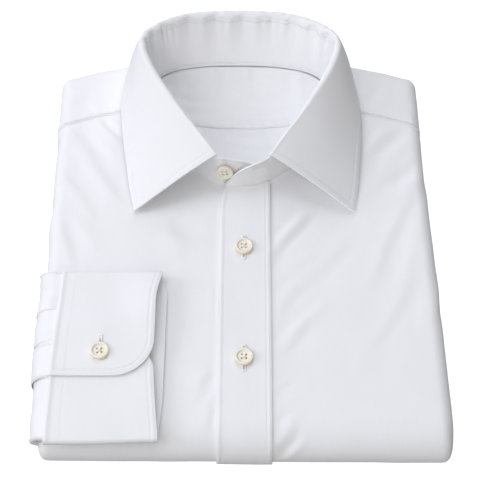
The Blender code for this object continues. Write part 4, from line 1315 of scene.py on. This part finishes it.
def placket_rows():
    """Rows of stitches along both edges of the placket."""
    y = steps(HEM_START - 26, 23, 1.0)
    yield placket_place(column(PLACKET_EDGE, y) + PLACKET_STITCH, y)
    yield placket_place(0 * y + PLACKET_RIGHT - PLACKET_STITCH, y)


def yoke_rows():
    """A row of stitches above each seam of yoke and front."""
    for low, high in ((-124, -64), (66, 124)):
        x = steps(low, high, 1.0)
        yield drape(x, yoke_seam(x) + YOKE_STITCH, 0.57)


def inside_row():
    """The row of stitches along the inner yoke's edge."""
    x = steps(-57, 57, 1.0)
    y = 0 * x + NECK[1] + 0.25 + INNER_STITCH
    yield stack(x, y, bowl_height(x, y) + 0.3), stack(0 * x, 0 * x, 1.0)


def leaf_rows():
    """One row of stitches all round the leaf's free edges."""
    points = leaf_surface()
    patch, across, lift = Patch(points), arc(points, 1), size("fused") / 2
    first, last = index_of(np.array((0, LAST)) + np.array((1, -1)) * LEAF_STITCH / COLLAR_STEP, LEAF_U)
    rows = np.arange(int(first) + 1, int(last) + 1)
    columns = np.array([index_of(row[-1] - LEAF_STITCH, row) for row in across[rows]])
    down = np.linspace(9.0, columns[0], 70)
    yield patch.curve(first, down, lift)
    yield patch.curve(rows, columns, lift)
    yield patch.curve(last, down, lift)


def cuff_top(x, y):
    """Points on top of the cuff's upper layers, with upward normals."""
    height = cuff_upper(y)
    return stack(x, y, height + cuff_swell(x, y, height) + 0.55), stack(0 * x, 0 * y, 1.0)


def cuff_rows():
    """Rows of stitches: along the free edge, and two along the seam to the sleeve."""
    radius = CUFF_CORNER - CUFF_STITCH
    turn = np.linspace(0, pi / 2, 24)
    upright = steps(CUFF_TOP - 2.5, FLAP_END + CUFF_CORNER, 1.5)
    level = steps(CUFF_MOUTH - CUFF_CORNER, cuff_seam(FLAP_END) + 1, 2.0)
    x = np.concatenate((upper_mouth(upright) - CUFF_STITCH, CUFF_MOUTH - CUFF_CORNER + radius * np.cos(turn),
                        level))
    y = np.concatenate((upright, FLAP_END + CUFF_CORNER - radius * np.sin(turn),
                        0 * level + FLAP_END + CUFF_STITCH))
    yield cuff_top(x, y)
    low = steps(FLAP_END - 2.5, CUFF_BOTTOM + 2.5, 1.5)
    yield cuff_top(upper_mouth(low) - CUFF_STITCH, low)
    for inset in CUFF_SEAM_STITCHES:
        for start, end in ((CUFF_TOP - 2.5, FLAP_END + 1.0), (FLAP_END - 2.0, CUFF_BOTTOM + 2.5)):
            y = steps(start, end, 1.5)
            yield cuff_top(cuff_seam(y) + inset, y)


def stand_rows():
    """Rows of stitches along the stand: by its foot and by its top, outside and inside."""
    points, height = stand_grid()
    patch, rows = Patch(points), np.arange(4, len(points) - 4)
    for share in (STAND_FOOT_STITCH / height[rows], 1 - STAND_STITCH / height[rows]):
        for lift in (0.55, -0.55):
            yield patch.curve(rows, index_of(share, STAND_SHARES), lift)


def gauntlet_rows():
    """Rows of stitches along both edges of the gauntlet."""
    across = steps(0.3, 26.0, 1.0)
    for y in (GAUNTLET[0] - GAUNTLET_STITCH, GAUNTLET[1] + GAUNTLET_STITCH):
        lift = column(SLEEVE, across, 3) + 1.0 + gathers(across, y) * 0.5
        yield sleeve_place(across, np.full(len(across), y), lift)


# ------------ buttonholes

HOLE_LIFT = 0.2


def buttonhole(name, place, length, material, slit_shade):
    """A worked buttonhole: dense stitches along both lips, a bar at each end, and a strand down the slit
    between in the colour slit_shade, a painted shadow of the open cut where that colour is dark. place gives
    points and normals for distances along and across it."""
    half, bar = length / 2, np.array((-0.45, -0.15, 0.15, 0.45))
    a = steps(-half, half, 0.42)
    threads = [(place(a + 0.05 * side, side * 0.3 + 0 * a),
                place(a, side * (1.55 + 0.07 * np.sin(a * 5.1 + side))), place(a, 0 * a)) for side in (-1, 1)]
    for end in (-half, half):
        left, right = (place(end + bar, 0 * bar + across) for across in (-1.6, 1.6))
        threads.append((left, right, left))
    start, end, out = zip(*threads)
    lips = sew(name, np.vstack([points for points, _ in start]), np.vstack([points for points, _ in end]),
               np.vstack([normals for _, normals in out]), 0.5, arch=0.42)
    trim(lips, material)
    points, normals = place(steps(-half + 0.6, half - 2.6, 2.0), 0.0)
    # The slit: a strand in slit_shade, painted shadow of the open cut where that colour is dark
    trim(sew(name + "_slit", points[:-1], points[1:], normals[:-1], 0.5, arch=0.0), slit_shade)


def on_placket(x, y):
    """Upright buttonhole on the placket."""
    return lambda a, b: placket_place(x + b, y + a, HOLE_LIFT)


def on_cuff(x, y):
    """Upright buttonhole on the cuff's upper end."""
    def place(a, b):
        points, normals = cuff_top(x + b, y + a)
        return points + normals * HOLE_LIFT, normals
    return place


def on_stand(corner, along, out):
    """Level buttonhole on the stand's upper end."""
    along, out = unit(np.array(along)), unit(np.array(out))
    up = unit(np.cross(out, along))

    def place(a, b):
        a, b = np.broadcast_arrays(a, b)
        points = np.array(corner) + along * a[:, None] + up * b[:, None] + out * 0.05
        return points, np.broadcast_to(out, points.shape)
    return place


# ------------ buttons

HOLE = 1.3


def turned_disc():
    """A button blank: a cylinder with a raised rim and a dished middle."""
    disc = add(bpy.ops.mesh.primitive_cylinder_add, vertices=64, radius=size("button_width") * MM / 2,
               depth=1.6 * MM, location=(0, 0, 1.1 * MM))
    bpy.ops.object.transform_apply(location=True)
    bpy.ops.object.mode_set(mode="EDIT")
    bpy.ops.mesh.select_mode(type="FACE")
    for top, steps_in in ((True, ((0.45, 0.42), (0.75, 0.04), (0.6, -0.55), (0.55, -0.25))),
                          (False, ((0.5, -0.25), (0.6, -0.05)))):
        bpy.ops.mesh.select_all(action="DESELECT")
        bpy.ops.object.mode_set(mode="OBJECT")
        for face in disc.data.polygons:
            face.select = face.normal.z > 0.9 if top else face.normal.z < -0.9
        bpy.ops.object.mode_set(mode="EDIT")
        for inset, rise in steps_in:
            bpy.ops.mesh.inset(thickness=inset * MM)
            bpy.ops.transform.translate(value=(0, 0, rise * MM))
    bpy.ops.object.mode_set(mode="OBJECT")
    soften(disc, 0.16, 3, 15)
    apply_all(disc)
    return disc


def drill(disc, x, y):
    """One hole through a button."""
    cutter = add(bpy.ops.mesh.primitive_cylinder_add, vertices=20, radius=0.6 * MM, depth=8 * MM,
                 location=(x * MM, y * MM, 1 * MM))
    hole = disc.modifiers.new("Hole", "BOOLEAN")
    hole.operation, hole.solver, hole.object = "DIFFERENCE", "EXACT", cutter
    apply_all(disc)
    bpy.data.objects.remove(cutter, do_unlink=True)


def make_button(node, place, normal, twist, shell, cotton):
    """A four-hole button, dished and drilled, set in place and sewn on with crossed threads."""
    disc = turned_disc()
    for x in (-HOLE, HOLE):
        for y in (-HOLE, HOLE):
            drill(disc, x, y)
    disc.name = disc.data.name = node + "_shell"
    face_map(disc)
    turn = Vector(normal).to_track_quat("Z", "Y").to_matrix() @ Matrix.Rotation(twist, 3, "Z")
    disc.data.transform(Matrix.Translation(Vector(place) * MM) @ turn.to_4x4())
    activate(disc)
    bpy.ops.object.shade_smooth_by_angle(angle=radians(30))
    dress(disc, node, shell, sheet=False)
    ends = np.array([((-HOLE * sx + shift * sy, -HOLE * sy - shift * sx, 1.75),
                      (HOLE * sx + shift * sy, HOLE * sy - shift * sx, 1.75))
                     for sx, sy in ((1, 1), (1, -1)) for shift in (-0.2, 0.2)])
    start, end = (ends @ np.array(turn).T + np.array(place)).transpose(1, 0, 2)
    trim(sew(node + "_thread", start, end, np.broadcast_to(normal, start.shape), 0.5, arch=0.5), cotton)


def face_map(disc):
    """UV map of a button: its own x and y from its middle."""
    layers = disc.data.uv_layers
    while layers:
        layers.remove(layers[0])
    corners = np.array([vertex.co for vertex in disc.data.vertices])
    write_uv(disc.data, layers.new(name="Face"), corners[:, :2])


def pearl():
    """Ivory shell: cream under a clear gloss, with a golden tint at the rim and a painted golden glow round
    the holes in the middle, standing in for light shining through the shell there.
    """
    colours = bpy.context.scene.shirt_colours
    shader = Shader("ivory_pearl")
    flat = shader.cut("Face")
    radius = shader.node("ShaderNodeVectorMath", {"operation": "LENGTH"}, {0: flat}, "Value") * 1000.0
    figure = shader.noise(flat, (420.0, 900.0, 1.0), 3.0)
    mirrored = shader.node("ShaderNodeVectorMath", {"operation": "ABSOLUTE"}, {0: flat}, "Vector")
    from_hole = shader.node("ShaderNodeVectorMath", {"operation": "DISTANCE"},
                            {0: mirrored, 1: (HOLE * MM, HOLE * MM, 0)}, "Value") * 1000.0
    # Painted glow: golden round each hole, standing in for light shining through the shell; a golden ring at
    # the rim and the faint figure are added to it
    glow_and_amber = from_hole.bell(0.2, 1.1) * 1.3 + radius.bell(5.9, 0.5) * 0.7 + figure * 0.07
    return shader.surface(Base_Color=shader.blend(list(colours.button), list(colours.button_glow_and_amber), glow_and_amber),
                          Roughness=figure * 0.15 + 0.2, Normal=shader.bump(figure * 0.03),
                          Coat_Weight=0.5, Coat_Roughness=0.12, Specular_IOR_Level=0.55)


def sewing_thread(name, colour=None):
    """Twisted cotton thread, in the scene's own colour unless another is given."""
    colour = list(colour or bpy.context.scene.shirt_colours.thread)
    shader = Shader(name)
    twist = shader.noise(shader.place(), (3500.0, 3500.0, 3500.0), 2.0)
    between = [c * 0.86 for c in colour[:3]] + [1.0]
    return shader.surface(Base_Color=shader.blend(between, colour, twist * 1.4 - 0.1),
                          Roughness=twist * 0.2 + 0.5, Normal=shader.bump(twist * 0.05),
                          Sheen_Weight=0.2, Specular_IOR_Level=0.35)


# ------------ settings

def length(name, description, millimetres):
    """A length in the settings."""
    return bpy.props.FloatProperty(name=name, description=description, default=millimetres * MM,
                                   unit="LENGTH", subtype="DISTANCE")


def colour(name, description, *values):
    """A colour in the settings."""
    return bpy.props.FloatVectorProperty(name=name, description=description, size=4, subtype="COLOR",
                                         default=(*values, 1.0), min=0, max=1)


class ShirtSizes(bpy.types.PropertyGroup):
    """Sizes of the cloth's finish."""
    ply: length("Poplin", "Thickness of one layer of cloth", 0.45)
    fused: length("Fused cloth", "Thickness of collar and cuff", 1.1)
    stitch: length("Stitch", "Length from one stitch to the next", 2.0)
    button_width: length("Button", "Width of the buttons", 11.5)


class ShirtColours(bpy.types.PropertyGroup):
    """Colours of cloth, thread and buttons."""
    cloth: colour("Cloth", "Poplin", 0.925, 0.925, 0.932)
    cloth_deep: colour("Between yarns", "Poplin between its yarns", 0.875, 0.875, 0.887)
    thread: colour("Thread", "Sewing thread", 0.94, 0.94, 0.945)
    twist: colour("Buttonhole twist", "Thread of the buttons and their holes", 1.0, 1.0, 1.0)
    # Painted shade: colour of the strand laid down a buttonhole's slit, standing for the shadow in the cut
    slit: colour("Slit", "Inside of a buttonhole", 0.62, 0.575, 0.5)
    button: colour("Button", "Ivory of the buttons", 0.88, 0.845, 0.73)
    # Golden colour of the painted glow round the buttons' holes, also used for the ring at their rim
    button_glow_and_amber: colour("Button, deep", "Amber of the buttons", 0.84, 0.58, 0.2)


# ------------ operators

class SHIRT_OT_layers(bpy.types.Operator):
    """Layers folded up below the front"""
    bl_idname = "shirt.layers"
    bl_label = "Layers below"

    def execute(self, context):
        cloth = poplin("folded_layers_poplin")
        dress(make_core(), "hidden_layers", cloth, sheet=False)
        for name, low, high, back, wave, closed in (("folded_tail", 0.0, 0.5, 1.3, 0.4, True),
                                                    ("folded_side", 0.5, 1.0, 0.6, 2.1, False)):
            dress(make_layer(name, low, high, back, wave, closed), "hidden_layers", cloth)
        return {"FINISHED"}


class SHIRT_OT_fronts(bpy.types.Operator):
    """The two fronts"""
    bl_idname = "shirt.fronts"
    bl_label = "Fronts"

    def execute(self, context):
        make_front("front_right", -1, CHEST_SEAM - 0.3)
        make_front("front_left", 1, CHEST_SEAM)
        return {"FINISHED"}


class SHIRT_OT_placket(bpy.types.Operator):
    """Placket with its stitches"""
    bl_idname = "shirt.placket"
    bl_label = "Placket"

    def execute(self, context):
        make_placket()
        sew_rows("placket_stitches", placket_rows(), sewing_thread("placket_thread"))
        return {"FINISHED"}


class SHIRT_OT_yoke(bpy.types.Operator):
    """Yoke and the inside of the back"""
    bl_idname = "shirt.yoke"
    bl_label = "Yoke and inside"

    def execute(self, context):
        make_yoke()
        make_inside("yoke_inner", 4, 176, 0.0, 1)
        make_inside("back", 184, 356, 0.5, -1)
        stitching = sewing_thread("yoke_thread")
        sew_rows("yoke_stitches", yoke_rows(), stitching)
        sew_rows("yoke_inner_stitches", inside_row(), stitching)
        return {"FINISHED"}


class SHIRT_OT_collar(bpy.types.Operator):
    """Collar stand and leaf with their stitches"""
    bl_idname = "shirt.collar"
    bl_label = "Collar"

    def execute(self, context):
        make_stand()
        make_leaf()
        stitching = sewing_thread("collar_thread")
        sew_rows("collar_leaf_stitches", leaf_rows(), stitching)
        sew_rows("collar_stand_stitches", stand_rows(), stitching)
        return {"FINISHED"}


class SHIRT_OT_sleeve(bpy.types.Operator):
    """Sleeve end, gauntlet and cuff"""
    bl_idname = "shirt.sleeve"
    bl_label = "Sleeve and cuff"

    def execute(self, context):
        make_sleeve()
        make_gauntlet()
        make_cuff()
        stitching = sewing_thread("cuff_thread")
        sew_rows("cuff_stitches", cuff_rows(), stitching)
        sew_rows("gauntlet_stitches", gauntlet_rows(), stitching)
        return {"FINISHED"}


class SHIRT_OT_buttons(bpy.types.Operator):
    """Buttons, their thread and the worked buttonholes"""
    bl_idname = "shirt.buttons"
    bl_label = "Buttons"

    def execute(self, context):
        colours = context.scene.shirt_colours
        shell, white = pearl(), sewing_thread("buttonhole_thread", colours.twist)
        # Painted shadow for the slits of the front and cuff buttonholes
        slit_shade = sewing_thread("buttonhole_slit_shade", colours.slit)
        for number, (x, y) in enumerate(FRONT_BUTTONS, 1):
            buttonhole(f"front_buttonhole_{number}", on_placket(x, y), 17.5, white, slit_shade)
            points, normals = placket_place(x, y, 0.45)
            make_button(f"front_button_{number}", points, normals, 0.0, shell, white)
        x, y = CUFF_BUTTON
        buttonhole("cuff_buttonhole", on_cuff(x, y + 3.2), 17.0, white, slit_shade)
        points, normals = cuff_top(x, y)
        make_button("cuff_button", points + UP * 0.35, normals, 0.1, shell, white)
        make_button("collar_button", COLLAR_BUTTON, unit(np.array((-0.03, -1.0, 0.09))), 0.2, shell, white)
        on_end = on_stand((11.6, 27.15, 44.0), (1, 0.31, 0.1), (0.3, -0.95, 0.07))
        buttonhole("stand_buttonhole", on_end, 10.0, white, white)
        return {"FINISHED"}


class SHIRT_OT_stage(bpy.types.Operator):
    """Floor, lights and camera"""
    bl_idname = "shirt.stage"
    bl_label = "Stage"

    def execute(self, context):
        make_floor()
        make_lights()
        make_camera()
        return {"FINISHED"}


OPERATORS = (SHIRT_OT_stage, SHIRT_OT_layers, SHIRT_OT_fronts, SHIRT_OT_placket, SHIRT_OT_yoke,
             SHIRT_OT_collar, SHIRT_OT_sleeve, SHIRT_OT_buttons)


class SHIRT_PT_panel(bpy.types.Panel):
    """Steps and settings in the sidebar"""
    bl_idname = "SHIRT_PT_panel"
    bl_label = "Folded shirt"
    bl_space_type = "VIEW_3D"
    bl_region_type = "UI"
    bl_category = "Shirt"

    def draw(self, context):
        for group in (context.scene.shirt_sizes, context.scene.shirt_colours):
            for key in group.__annotations__:
                self.layout.prop(group, key)
        for operator in OPERATORS:
            self.layout.operator(operator.bl_idname)


CLASSES = (ShirtSizes, ShirtColours, *OPERATORS, SHIRT_PT_panel)


# ------------ stage

def make_floor():
    """A plain pale floor."""
    floor = add(bpy.ops.mesh.primitive_plane_add, size=30.0, location=(0, 0, -0.0001))
    bpy.ops.object.transform_apply(location=True)
    floor.name = "floor"
    shader = Shader("studio_floor")
    grain = shader.noise(shader.place(), (3.0, 3.0, 3.0), 2.0)
    floor.data.materials.append(shader.surface(
        Base_Color=(0.93, 0.93, 0.93, 1.0), Roughness=grain * 0.1 + 0.85, Specular_IOR_Level=0.1,
        Emission_Color=(1.0, 1.0, 1.0, 1.0), Emission_Strength=0.75))
    floor.visible_diffuse = False


COOL, WARM = (0.9, 0.922, 1.0), (1.0, 0.985, 0.975)

# Soft boxes: place, width, power and colour
LIGHTS = {
    "key": ((-1.7, 0.0, 0.68), 0.9, 10.8, COOL),
    "key_middle": ((-1.3, 0.0, 1.3), 1.2, 4.2, COOL),
    "key_front": ((-1.0, -0.8, 1.5), 1.0, 5.4, COOL),
    "front": ((0.0, -2.6, 1.9), 2.6, 38.0, WARM),
    "behind": ((0.0, 3.0, 1.1), 2.0, 26.0, COOL),
    "behind_high": ((0.0, 1.6, 2.75), 2.4, 39.0, COOL),
}


def make_lights():
    """Large soft boxes aimed at the shirt: cool ones low on the left, high in front on the left and
    behind, and a warmer one that fills the shade from the front."""
    for name, (place, width, power, tint) in LIGHTS.items():
        light = add(bpy.ops.object.light_add, type="AREA", location=place)
        light.name = name
        light.data.size, light.data.energy, light.data.color = width, power, tint
        light.rotation_euler = (Vector((0, 0, 0.03)) - Vector(place)).to_track_quat("-Z", "Y").to_euler()
    world = bpy.context.scene.world or bpy.data.worlds.new("surround")
    bpy.context.scene.world = world
    world.use_nodes = True
    background = world.node_tree.nodes["Background"]
    background.inputs["Color"].default_value = (1.0, 0.98, 0.95, 1.0)
    background.inputs["Strength"].default_value = 0.13
    bpy.context.scene.view_settings.view_transform = "Standard"


def make_camera():
    """Camera above the hem end, looking down at the shirt."""
    camera = add(bpy.ops.object.camera_add, location=(0.002409, -0.461523, 0.684080),
                 rotation=(radians(34), 0.0, radians(0.31)))
    camera.name = "camera"
    camera.data.lens, camera.data.sensor_width = 92.625, 36.0
    bpy.context.scene.camera = camera


# ------------ run

def register():
    """Register the classes and the scene's settings."""
    for kind in CLASSES:
        bpy.utils.register_class(kind)
    bpy.types.Scene.shirt_sizes = bpy.props.PointerProperty(type=ShirtSizes)
    bpy.types.Scene.shirt_colours = bpy.props.PointerProperty(type=ShirtColours)


def unregister():
    """Undo register."""
    del bpy.types.Scene.shirt_sizes, bpy.types.Scene.shirt_colours
    for kind in reversed(CLASSES):
        bpy.utils.unregister_class(kind)


def main():
    """Register the classes and build everything."""
    register()
    for operator in OPERATORS:
        group, name = operator.bl_idname.split(".")
        getattr(getattr(bpy.ops, group), name)()


if __name__ == "__main__":
    main()
